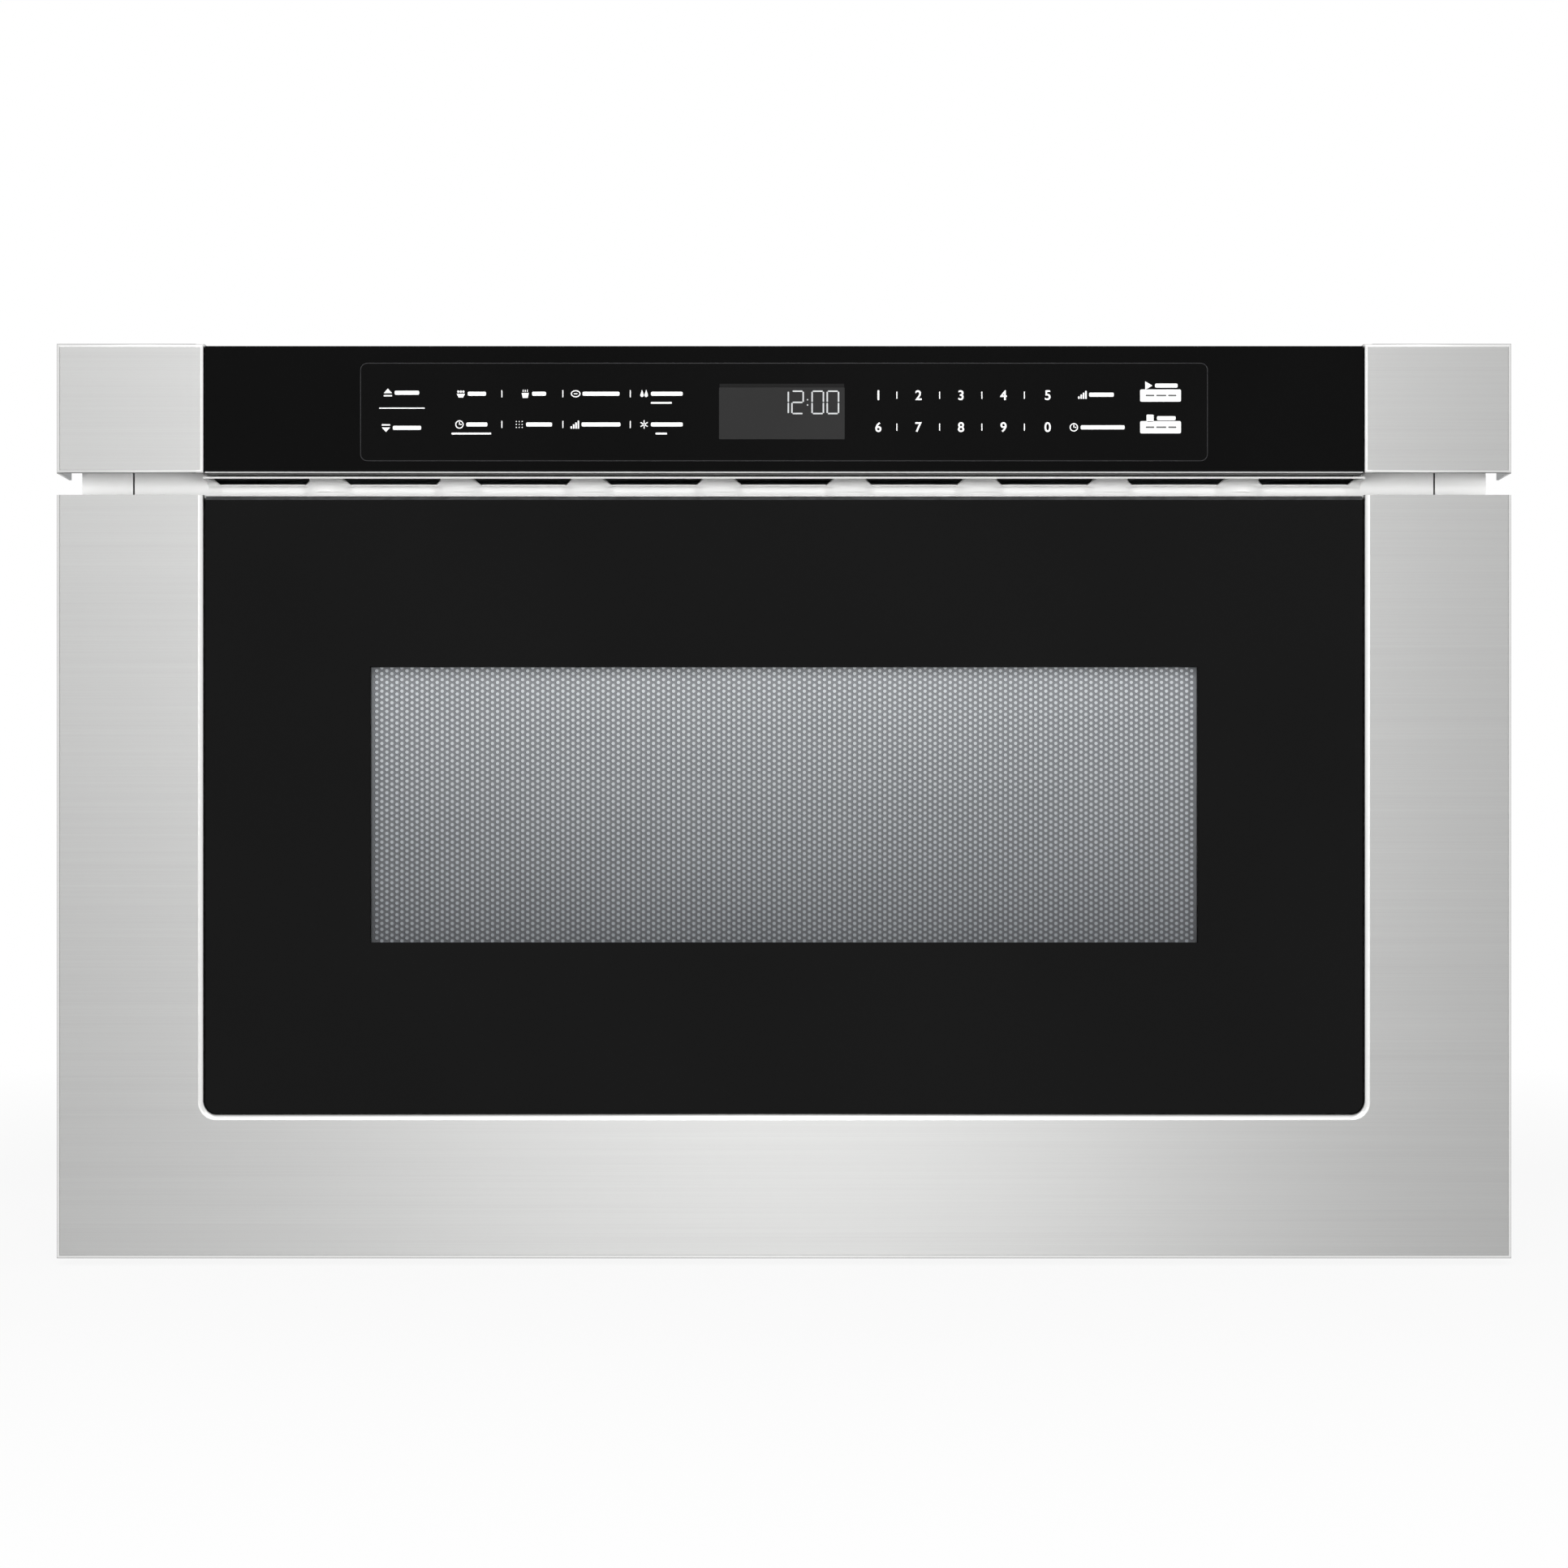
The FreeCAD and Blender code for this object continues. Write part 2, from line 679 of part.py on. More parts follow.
def ceramic_tray():
    """The glass-ceramic floor of the tub."""
    body = body_for("ceramic_tray")
    inset = "tub_wall + tray_gap"
    plan = rectangle(both(f"{TUB_HALF} - ({inset})"), (f"{TUB_FRONT} + {inset}", f"{TUB_BACK} - ({inset})"))
    extrude(body, "XY", plan, f"{TUB_LOW} + tub_wall", f"{TUB_LOW} + tub_wall + tray_thick")
    round_edges(body, "tub_corner - tub_wall", lambda edge: straight(edge, UP))
    return body


part("ceramic_tray", ceramic_tray())

glides = []
GLIDE_X = (f"{TUB_HALF} - glide_inset - glide_width", f"{TUB_HALF} - glide_inset")
GLIDE_Y = (f"{TUB_BACK} - glide_inset - glide_length", f"{TUB_BACK} - glide_inset")
for hand, span in (("left", mirrored(*GLIDE_X)), ("right", GLIDE_X)):
    glides.append(block(f"glide_{hand}", span, GLIDE_Y, ("cavity_floor + clearance", TUB_LOW)))
part("tub_glides", group("glides", *glides))


# ---- the slides ------------------------------------------------------------------------------------------

def channel(name, side, near, depth, height, thick, y, open_inward=True):
    """A channel along Y on the slides' centre line. Near and depth run inward from the side panel."""
    outer = block(f"{name}_bar", side_span(side, near, f"{near} + {depth}"), y,
                  around("rail_rise", height))
    hollow = (f"{near} + {thick}", f"{near} + {depth} + 1") if open_inward else (
        f"{near} - 1", f"{near} + {depth} - {thick}")
    inner = block(f"{name}_hollow", side_span(side, *hollow), grown(y, "1"),
                  around("rail_rise", f"({height} - 2 * {thick})"))
    return cut(f"{name}_channel", outer, inner)


CAGE_SPAN = (f"{RAIL_FRONT} + drawer_travel / 4 + cage_end", f"{RAIL_BACK} - drawer_travel / 4 - cage_end")


def ball_cage(name, side, near, reach, race, depth):
    """A strip with two rows of balls, one above and one below the slides' centre line."""
    web = block(f"{name}_web", side_span(side, near, f"{near} + cage_thick"), CAGE_SPAN,
                around("rail_rise", f"(2 * {race} + cage_thick)"))
    pieces = [web]
    sign = "+" if side > 0 else "-"
    across = f"{sign}({WALL} - ({reach}))"
    for row, level in (("low", f"rail_rise - {race}"), ("high", f"rail_rise + {race}")):
        pieces.append(block(f"{name}_{row}", side_span(side, near, f"{near} + {depth}"),
                            CAGE_SPAN, around(level, "cage_thick")))
        for index in range(int(size("ball_count"))):
            ball = doc.addObject("Part::Sphere", f"{name}_{row}_ball{index}")
            bind(ball, Radius="ball_radius")
            along = f"({CAGE_SPAN[0]} + {CAGE_SPAN[1]}) / 2 + ({index} - (ball_count - 1) / 2) * ball_pitch"
            pieces.append(place(ball, across, along, level))
    return fuse(name, *pieces)


RAIL_SPAN = (RAIL_FRONT, RAIL_BACK)
OUTER_RACE = "((rail_height / 2 - rail_sheet + middle_height / 2) / 2)"
INNER_RACE = "((middle_height / 2 - rail_sheet + inner_height / 2) / 2)"
INNER_FACE = "(inner_set + inner_depth)"                 # face of the inner member that carries the arm

cages = {"outer": [], "inner": []}
members = {"middle": [], "inner": []}
for side, hand in ((-1, "left"), (1, "right")):
    part(f"outer_rail_{hand}", channel(f"outer_{hand}", side, "0", "rail_depth", "rail_height",
                                       "rail_sheet", RAIL_SPAN))
    members["middle"].append(channel(f"middle_{hand}", side, "middle_set", "middle_depth", "middle_height",
                                     "rail_sheet", RAIL_SPAN))
    members["inner"].append(channel(f"inner_{hand}", side, "inner_set", "inner_depth", "inner_height",
                                    "rail_sheet", RAIL_SPAN, open_inward=False))
    cages["outer"].append(ball_cage(f"outer_cage_{hand}", side, "outer_cage_set", "outer_ball_set",
                                    OUTER_RACE, "outer_cage_depth"))
    cages["inner"].append(ball_cage(f"inner_cage_{hand}", side, "inner_cage_set", "inner_ball_set",
                                    INNER_RACE, "inner_cage_depth"))
part("middle_rails", group("middle_pair", *members["middle"]))
part("inner_rails", group("inner_pair", *members["inner"]))
part("outer_cages", group("outer_cage_pair", *cages["outer"]))
part("inner_cages", group("inner_cage_pair", *cages["inner"]))

for side, hand in ((-1, "left"), (1, "right")):
    web = block(f"arm_{hand}_web", side_span(side, INNER_FACE, f"{INNER_FACE} + arm_sheet"),
                (DOOR_BACK, RAIL_BACK), around("rail_rise", "arm_height"))
    tab = block(f"arm_{hand}_tab", side_span(side, INNER_FACE, f"{INNER_FACE} + arm_tab"),
                (DOOR_BACK, f"{DOOR_BACK} + arm_sheet"), around("rail_rise", "arm_height"))
    top = block(f"arm_{hand}_top", side_span(side, INNER_FACE, f"{INNER_FACE} + arm_flange"),
                (DOOR_BACK, RAIL_BACK),
                ("rail_rise + arm_height / 2 - arm_sheet", "rail_rise + arm_height / 2"))
    part(f"slide_arm_{hand}", fuse(f"arm_{hand}", web, tab, top))


# ---- the rack and its pinion -----------------------------------------------------------------------------

PITCH = "(pi * tooth_module)"
SPACES = f"(round(drawer_travel / {PITCH}) + 7)"
RACK_FRONT = f"({PINION_Y} - 4 * {PITCH})"
RACK_SIDE = (f"{INNER_FACE} + arm_sheet", f"{INNER_FACE} + arm_sheet + rack_width")


def drive_rack():
    """A toothed bar with its teeth down, fixed to the left arm."""
    body = body_for("drive_rack")
    across = side_span(-1, *RACK_SIDE)
    tip = "rack_rise - tooth_module"
    root = "(rack_rise + 1.25 * tooth_module)"
    back = f"{root} + rack_back"
    ends = (RACK_FRONT, f"{RACK_FRONT} + ({SPACES} + 1) * {PITCH}")
    extrude(body, "YZ", rectangle(ends, (tip, back)), *across)
    middle = f"({RACK_FRONT} + {PITCH})"
    half = f"({PITCH} / 4 + tooth_play / 2"
    mouth = "(rack_rise - 1.5 * tooth_module)"
    wide = f"{half} + 1.5 * tooth_module * tan(20))"
    narrow = f"{half} - 1.25 * tooth_module * tan(20))"
    space = [(f"{middle} - {wide}", mouth), (f"{middle} + {wide}", mouth),
             (f"{middle} + {narrow}", root), (f"{middle} - {narrow}", root)]
    feature = extrude(body, "YZ", space, f"{across[0]} - 1", f"{across[1]} + 1", cutting=True)
    pattern(body, feature, "Y_Axis", f"({SPACES} - 1) * {PITCH}", SPACES)
    return body


part("drive_rack", drive_rack())


def gear_face(module, teeth):
    """The outline of an involute gear as a face in the YZ plane, with one tooth pointing up."""
    pressure = math.radians(20)
    pitch_radius = module * teeth / 2
    base = pitch_radius * math.cos(pressure)
    tip = pitch_radius + module
    root = pitch_radius - 1.25 * module
    at_pitch = math.pi / (2 * teeth) + math.tan(pressure) - pressure

    def half_angle(radius):
        turn = math.acos(min(1, base / radius))
        return at_pitch - (math.tan(turn) - turn)

    def spot(radius, angle):
        return FreeCAD.Vector(0, radius * math.sin(angle), radius * math.cos(angle))

    edges = []
    radii = (base, (base + tip) / 2, tip)
    for index in range(teeth):
        centre = 2 * math.pi * index / teeth
        following = 2 * math.pi * (index + 1) / teeth
        rise = [spot(radius, centre - half_angle(radius)) for radius in radii]
        fall = [spot(radius, centre + half_angle(radius)) for radius in reversed(radii)]
        foot = half_angle(base)
        low = spot(root, centre - foot)
        end = spot(root, centre + foot)
        edges.append(Part.makeLine(low, rise[0]))
        edges.append(Part.Arc(*rise).toShape())
        edges.append(Part.Arc(rise[2], spot(tip, centre), fall[0]).toShape())
        edges.append(Part.Arc(*fall).toShape())
        edges.append(Part.makeLine(fall[2], end))
        gap = spot(root, (centre + following) / 2)
        edges.append(Part.Arc(end, gap, spot(root, following - foot)).toShape())
    return Part.Face(Part.Wire(edges))


PINION_NEAR = f"{INNER_FACE} + arm_sheet + pinion_gap"
PINION_SIDE = (PINION_NEAR, f"{PINION_NEAR} + pinion_face")
GEARBOX_FACE = f"-({WALL} - ({PINION_SIDE[1]}) - gearbox_gap)"


def drive_pinion():
    """The pinion and its shaft, which runs into the gearbox."""
    low = number(side_span(-1, *PINION_SIDE)[0])
    high = number(side_span(-1, *PINION_SIDE)[1])
    shaft_end = number(GEARBOX_FACE) + size("shaft_reach")
    gear = gear_face(size("tooth_module"), int(size("pinion_teeth")))
    gear.translate(FreeCAD.Vector(low, 0, 0))
    solid = gear.extrude(FreeCAD.Vector(high - low, 0, 0))
    shaft = Part.makeCylinder(size("drive_shaft") / 2, shaft_end - low, FreeCAD.Vector(low, 0, 0), ALONG_X)
    hub_length = high - low + size("gearbox_gap") / 2
    hub = Part.makeCylinder(size("drive_shaft"), hub_length, FreeCAD.Vector(low, 0, 0), ALONG_X)
    made = doc.addObject("Part::Feature", "pinion")
    made.Shape = solid.fuse([hub, shaft]).removeSplitter()
    return place(made, "0", PINION_Y, PINION_Z)


part("drive_pinion", drive_pinion())

gearbox_z = (BASE_TOP, f"2 * {PINION_Z} - {BASE_TOP}")
gearbox_half = f"({PINION_Z} - {BASE_TOP})"
gearbox = block("gearbox", (GEARBOX_FACE, f"{GEARBOX_FACE} + gearbox_length"),
                grown((PINION_Y, PINION_Y), gearbox_half), gearbox_z)
drive_can = rod("drive_can", "X", "motor_radius", f"{GEARBOX_FACE} + gearbox_length",
                f"{GEARBOX_FACE} + gearbox_length + motor_length", y=PINION_Y, z=PINION_Z)
drive_bore = rod("drive_bore", "X", "drive_shaft / 2 + running", f"{GEARBOX_FACE} - 1",
                 f"{GEARBOX_FACE} + shaft_reach + bore_end", y=PINION_Y, z=PINION_Z)
part("drive_motor", cut("drive_motor_cut", fuse("drive_motor_all", gearbox, drive_can), drive_bore))


# ---- the interlock keys and switches ---------------------------------------------------------------------

keys = []
switches = []
for side, hand in ((-1, "left"), (1, "right")):
    near = around(f"({WALL} - key_across)", "key_thick")
    key_z = around("key_rise", "key_width")
    key_y = (DOOR_BACK, f"{DOOR_BACK} + key_length")
    keys.append(block(f"key_{hand}", side_span(side, *near), key_y, key_z))
    switch_y = (f"{key_y[1]} + plunger_length", f"{key_y[1]} + plunger_length + switch_length")
    plunger = block(f"plunger_{hand}", side_span(side, *near),
                    (f"{key_y[1]} + clearance", switch_y[0]), around("key_rise", "plunger_width"))
    wide = around(f"({WALL} - key_across)", "switch_thick")
    housing = block(f"switch_{hand}_box", side_span(side, *wide), switch_y,
                    around("key_rise", "switch_height"))
    bracket = block(f"switch_{hand}_bracket", side_span(side, "0", wide[0]),
                    (f"{switch_y[1]} - bracket_width", switch_y[1]), around("key_rise", "bracket_width"))
    switches.append(fuse(f"switch_{hand}", plunger, housing, bracket))
part("interlock_keys", group("key_pair", *keys))
part("interlock_switches", group("switch_pair", *switches))


# ---- the case --------------------------------------------------------------------------------------------

CASE_Y = (CABINET, f"{BACK} - sheet")
part("base_plate", block("base", both(WALL), CASE_Y, ("foot_height", BASE_TOP)))

feet = []
for hand, x in (("left", f"-({CASE_HALF} - foot_inset)"), ("right", f"({CASE_HALF} - foot_inset)")):
    for end, y in (("front", f"{CABINET} + foot_inset"), ("rear", f"{BACK} - foot_inset")):
        foot = doc.addObject("Part::Cone", f"foot_{hand}_{end}")
        bind(foot, Radius1="foot_radius - foot_taper", Radius2="foot_radius", Height="foot_height")
        feet.append(place(foot, x, y, "0"))
part("rubber_feet", group("feet", *feet))

FAN_X = "fan_across"


def louvres(name, x, y, low):
    """Openings one above the other from a height upward, as one cutting tool."""
    made = []
    for index in range(int(size("louvre_count"))):
        level = f"{low} + {index} * louvre_pitch"
        made.append(block(f"{name}{index}", x, y, (level, f"{level} + louvre_height")))
    return fuse(name, *made)


for side, hand in ((-1, "left"), (1, "right")):
    panel = block(f"side_{hand}_sheet", side_span(side, "-sheet", "0"), (CABINET, BACK),
                  ("foot_height", "case_height"))
    openings = louvres(f"side_{hand}_slots", side_span(side, "-sheet - 1", "1"),
                       (f"{CAVITY_BACK} + louvre_margin", f"{BACK} - louvre_margin"), "louvre_rise")
    part(f"side_panel_{hand}", cut(f"side_{hand}", panel, openings))

top_sheet = block("top_sheet", both(WALL), CASE_Y, ("case_height - sheet", "case_height"))
top_lip = block("top_lip", both(f"{WALL} - lip_inset"), (CABINET, f"{CABINET} + sheet"),
                ("case_height - lip", "case_height"))
part("top_cover", fuse("top", top_sheet, top_lip))

rear_sheet = block("rear_sheet", both(WALL), (f"{BACK} - sheet", BACK), ("foot_height", "case_height"))
FAN_SLOTS_LOW = "(fan_rise - ((louvre_count - 1) * louvre_pitch + louvre_height) / 2)"
fan_slots = louvres("fan_slots", around(FAN_X, "2 * (fan_radius - louvre_inset)"),
                    (f"{BACK} - sheet - 1", f"{BACK} + 1"), FAN_SLOTS_LOW)
CORD = {"x": "-cord_across", "z": "cord_rise"}
cord_opening = rod("cord_opening", "Y", "grommet_radius - grommet_groove", f"{BACK} - sheet - 1",
                   f"{BACK} + 1", **CORD)
part("rear_panel", cut("rear", rear_sheet, fan_slots, cord_opening))

RING_FRONT = f"({BACK} - sheet - grommet_ring)"
grommet_neck = rod("grommet_neck", "Y", "grommet_radius - grommet_groove", RING_FRONT, BACK, **CORD)
grommet_head = rod("grommet_head", "Y", "grommet_radius", BACK, f"{BACK} + rear_gap", **CORD)
grommet_back = rod("grommet_back", "Y", "grommet_radius", RING_FRONT, f"{BACK} - sheet", **CORD)
cord_bore = rod("cord_bore", "Y", "cord_hole", f"{RING_FRONT} - 1", f"{BACK} + rear_gap + 1", **CORD)
grommet_all = fuse("grommet_all", grommet_neck, grommet_head, grommet_back)
part("cord_grommet", cut("grommet", grommet_all, cord_bore))

# A flange narrower than the case turns inward from its leg, and the front plate between them gives way.
FLANGE_INNER = f"min({WALL} - sheet; flange_width / 2)"
FLANGE_OUTER = f"max({CASE_HALF} + sheet; flange_width / 2)"
FLANGE_TOP = "(case_height - flange_drop)"
flanges = []
for side, hand in ((-1, "left"), (1, "right")):
    sign = "+" if side > 0 else "-"
    across = (FLANGE_INNER, FLANGE_OUTER)
    face = block(f"flange_{hand}_face", across if side > 0 else mirrored(*across), (FLANGE, CABINET),
                 ("flange_low", FLANGE_TOP))
    leg = block(f"flange_{hand}_leg", side_span(side, "-2 * sheet", "-sheet"),
                (CABINET, f"{CABINET} + flange_leg"), ("flange_low", FLANGE_TOP))
    holes = []
    for level, z in (("low", "screw_low"), ("high", "screw_low + screw_rise")):
        holes.append(rod(f"flange_{hand}_{level}", "Y", "screw_hole / 2", f"{FLANGE} - 1", f"{CABINET} + 1",
                         x=f"{sign}({FLANGE_INNER} + {FLANGE_OUTER}) / 2", z=z))
    flanges.append(cut(f"flange_{hand}", fuse(f"flange_{hand}_all", face, leg), *holes))
part("mounting_flanges", group("flange_pair", *flanges))

PLATE_HALF = f"({FLANGE_INNER} - seam)"
PLATE_LOW = "(cavity_floor - mouth_sill + seam)"


def front_plate():
    """The front of the case: mouth of the cavity, slots for the keys, and vents along its bent top.

    The sheet is bent forward under the glass of the panel, and runs straight up behind the end caps.
    """
    body = body_for("front_plate")
    shoulder = f"({PLATE_TOP} - sheet - 2 * bend)"
    extrude(body, "XZ", rectangle(both(PLATE_HALF), (PLATE_LOW, shoulder)), FLANGE, CABINET)
    profile = [(FLANGE, shoulder), (CABINET, shoulder), (CABINET, PLATE_TOP),
               (f"{FLANGE} - vent_flange", PLATE_TOP), (f"{FLANGE} - vent_flange", f"{PLATE_TOP} - sheet"),
               (FLANGE, f"{PLATE_TOP} - sheet")]
    extrude(body, "YZ", profile, *both(f"{GLASS_HALF} + vent_end"))
    for side in (-1, 1):
        ear = (f"{GLASS_HALF} + vent_end + clearance", PLATE_HALF)
        ear = ear if side > 0 else mirrored(*ear)
        extrude(body, "XZ", rectangle(ear, (shoulder, FLANGE_TOP)), FLANGE, CABINET)
    round_edges(body, "bend", lambda edge: straight(edge, ALONG_X) and at(edge, 1, FLANGE)
                and at(edge, 2, f"{PLATE_TOP} - sheet"))
    round_edges(body, "bend + sheet", lambda edge: straight(edge, ALONG_X) and at(edge, 1, CABINET)
                and at(edge, 2, PLATE_TOP))
    mouth = rectangle(both(CAVITY_HALF), ("cavity_floor", CAVITY_TOP))
    extrude(body, "XZ", mouth, f"{FLANGE} - 1", f"{CABINET} + 1", cutting=True)
    for side in (-1, 1):
        slot = side_span(side, *around(f"({WALL} - key_across)", "key_thick + 2 * key_clearance"))
        extrude(body, "XZ", rectangle(slot, around("key_rise", "key_width + 2 * key_clearance")),
                f"{FLANGE} - 1", f"{CABINET} + 1", cutting=True)
    first = "(-vent_pitch * (vent_count - 1) / 2)"
    low = f"{PLATE_TOP} - vent_drop"
    high = f"{PLATE_TOP} + 1"
    vent = [(f"{first} - vent_bottom / 2", low), (f"{first} + vent_bottom / 2", low),
            (f"{first} + vent_top / 2", high), (f"{first} - vent_top / 2", high)]
    vent_front = f"{FLANGE} - vent_flange + vent_edge"
    feature = extrude(body, "XZ", vent, vent_front, f"{CABINET} + 1", cutting=True)
    pattern(body, feature, "X_Axis", "vent_pitch * (vent_count - 1)", "vent_count")
    return body


part("front_plate", front_plate())

lower = block("lower_sheet", both(PLATE_HALF), (FLANGE, CABINET), ("foot_height", f"{PLATE_LOW} - seam"))
notches = []
for side, hand in ((-1, "left"), (1, "right")):
    inner = f"{INNER_FACE} + arm_flange + notch_clearance"
    notches.append(block(f"notch_{hand}", side_span(side, "0", inner), (f"{FLANGE} - 1", f"{CABINET} + 1"),
                         around("rail_rise", "arm_height + 2 * notch_clearance")))
part("lower_panel", cut("lower", lower, *notches))


# ---- the cavity and the microwave feed -------------------------------------------------------------------

cavity_outer = block("cavity_outer", both(f"{CAVITY_HALF} + cavity_sheet"),
                     (CABINET, f"{CAVITY_BACK} + cavity_sheet"), ("cavity_floor - cavity_sheet", ROOF))
cavity_inner = block("cavity_inner", both(CAVITY_HALF), (f"{CABINET} - 1", CAVITY_BACK),
                     ("cavity_floor", CAVITY_TOP))
feed = rod("feed", "Z", "feed_radius", f"{CAVITY_TOP} - 1", f"{ROOF} + sheet + 1", y=STIRRER_Y)
LAMP = {"y": f"{STIRRER_Y} + lamp_back", "z": "lamp_rise"}
lamp_port = rod("lamp_port", "X", "lamp_radius + lamp_set", f"-({CAVITY_HALF} + cavity_sheet + 1)",
                f"-({CAVITY_HALF} - 1)", **LAMP)
DUCT_X = around("duct_across", "duct_width")
PORT_X = grown(DUCT_X, "-port_margin")
PORT_Y = around(STIRRER_Y, "port_length")
duct_port = block("duct_port", PORT_X, PORT_Y, (f"{CAVITY_TOP} - 1", f"{ROOF} + 1"))
part("oven_cavity", cut("cavity", cavity_outer, cavity_inner, feed, lamp_port, duct_port))

STAND_Y = f"({CAVITY_BACK} - stand_set)"
STAND_BACK = f"({STAND_Y} + stand_foot)"
STAND_TOP = "(cavity_floor - cavity_sheet)"
STAND_X = both("stand_width / 2")
stand_web = block("stand_web", STAND_X, (STAND_Y, f"{STAND_Y} + sheet"), (BASE_TOP, STAND_TOP))
stand_foot = block("stand_low", STAND_X, (STAND_Y, STAND_BACK), (BASE_TOP, f"{BASE_TOP} + sheet"))
stand_head = block("stand_high", STAND_X, (STAND_Y, STAND_BACK), (f"{STAND_TOP} - sheet", STAND_TOP))
part("cavity_stand", fuse("stand", stand_web, stand_foot, stand_head))

guide_y = (f"{STIRRER_Y} - guide_front", f"{MAGNETRON_Y} + magnetron_depth / 2")
guide_outer = block("guide_outer", both("guide_width / 2"), guide_y, (ROOF, GUIDE_TOP))
guide_inner = block("guide_inner", both("guide_width / 2 - sheet"), grown(guide_y, "-sheet"),
                    (f"{ROOF} + sheet", f"{GUIDE_TOP} - sheet"))
guide_feed = rod("guide_feed", "Z", "feed_radius", f"{ROOF} - 1", f"{ROOF} + sheet + 1", y=STIRRER_Y)
guide_antenna = rod("guide_antenna", "Z", "antenna_radius + antenna_gap",
                    f"{ROOF} - 1", f"{ROOF} + sheet + 1", y=MAGNETRON_Y)
guide_shaft = rod("guide_shaft", "Z", "stirrer_shaft / 2 + clearance", f"{GUIDE_TOP} - sheet - 1",
                  f"{GUIDE_TOP} + 1", y=STIRRER_Y)
part("waveguide", cut("guide", guide_outer, guide_inner, guide_feed, guide_antenna, guide_shaft))

cover_y = around(STIRRER_Y, "cover_size")
cover_low = f"{CAVITY_TOP} - cover_drop - cover_thick"
cover_outer = block("cover_outer", both("cover_size / 2"), cover_y, (cover_low, CAVITY_TOP))
cover_inner = block("cover_inner", both("cover_size / 2 - cover_thick"), grown(cover_y, "-cover_thick"),
                    (f"{CAVITY_TOP} - cover_drop", f"{CAVITY_TOP} + 1"))
part("stirrer_cover", cut("cover", cover_outer, cover_inner))


def stirrer_fan():
    """Flat bent blades on a shaft that comes down through the waveguide."""
    level = number(CAVITY_TOP) - size("stirrer_drop")
    top = number(GUIDE_TOP) + size("shaft_reach")
    wide = size("blade_width")
    thick = size("blade_thick")
    start = size("blade_start")
    bend_at = size("stirrer_radius") - size("blade_tip") - 1
    pieces = [Part.makeCylinder(size("stirrer_shaft") / 2, top - level, FreeCAD.Vector(0, 0, level)),
              Part.makeCylinder(size("stirrer_hub"), thick, FreeCAD.Vector(0, 0, level))]
    count = int(size("stirrer_blades"))
    for index in range(count):
        tip = Part.makeBox(size("blade_tip"), wide, thick, FreeCAD.Vector(0, -wide / 2, 0))
        tip.rotate(FreeCAD.Vector(), FreeCAD.Vector(0, 1, 0), 20)
        tip.translate(FreeCAD.Vector(bend_at - 0.5, 0, level))
        flat = Part.makeBox(bend_at - start, wide, thick, FreeCAD.Vector(start, -wide / 2, level))
        blade = flat.fuse(tip)
        blade.rotate(FreeCAD.Vector(), UP, 360 * index / count)
        pieces.append(blade)
    made = doc.addObject("Part::Feature", "stirrer")
    made.Shape = pieces[0].fuse(pieces[1:]).removeSplitter()
    return place(made, "0", STIRRER_Y, "0")


part("stirrer_fan", stirrer_fan())

stirrer_can = rod("stirrer_can", "Z", "stirrer_size / 2", GUIDE_TOP, f"{GUIDE_TOP} + stirrer_motor_height",
                  y=STIRRER_Y)
stirrer_ears = block("stirrer_ears", both("stirrer_size / 2 + ear_reach"), around(STIRRER_Y, "ear_width"),
                     (GUIDE_TOP, f"{GUIDE_TOP} + ear_thick"))
stirrer_bore = rod("stirrer_bore", "Z", "stirrer_shaft / 2 + running", f"{GUIDE_TOP} - 1",
                   f"{GUIDE_TOP} + shaft_reach + bore_end", y=STIRRER_Y)
part("stirrer_motor", cut("stirrer_motor_cut", fuse("stirrer_motor_all", stirrer_can, stirrer_ears),
                          stirrer_bore))

TUBE_Z = (f"({ROOF} - magnetron_height)", ROOF)
yoke_outer = block("yoke_outer", both("magnetron_width / 2"),
                   around(MAGNETRON_Y, "magnetron_depth"), TUBE_Z)
yoke_inner = block("yoke_inner", both("magnetron_width / 2 - yoke_sheet"),
                   around(MAGNETRON_Y, "magnetron_depth + 2"), grown(TUBE_Z, "-yoke_sheet"))
yoke = cut("yoke", yoke_outer, yoke_inner)
tube_pieces = [yoke, rod("anode", "Z", "anode_radius", *grown(TUBE_Z, "-yoke_sheet / 2"), y=MAGNETRON_Y),
               rod("antenna", "Z", "antenna_radius", f"{TUBE_Z[1]} - yoke_sheet / 2",
                   f"{TUBE_Z[1]} + antenna_height", y=MAGNETRON_Y)]
for index in range(int(size("fin_count"))):
    fin_z = f"{TUBE_Z[0]} + fin_end + {index} * (magnetron_height - 2 * fin_end) / (fin_count - 1)"
    tube_pieces.append(block(f"fin{index}", both("magnetron_width / 2 - yoke_sheet / 2"),
                             around(MAGNETRON_Y, "magnetron_depth - 2 * fin_inset"),
                             (fin_z, f"{fin_z} + fin_thick")))
part("magnetron", fuse("tube", *tube_pieces))

duct_y = (f"{CABINET} + duct_set", f"{PORT_Y[1]} + port_margin + duct_wall")
duct_outer = block("duct_outer", DUCT_X, duct_y, (ROOF, f"{ROOF} + duct_height"))
duct_inner = block("duct_inner", grown(DUCT_X, "-duct_wall"),
                   (f"{duct_y[0]} - 1", f"{duct_y[1]} - duct_wall"),
                   (f"{ROOF} + duct_wall", f"{ROOF} + duct_height - duct_wall"))
duct_hole = block("duct_hole", PORT_X, PORT_Y, (f"{ROOF} - 1", f"{ROOF} + duct_wall + 1"))
part("exhaust_duct", cut("duct", duct_outer, duct_inner, duct_hole))

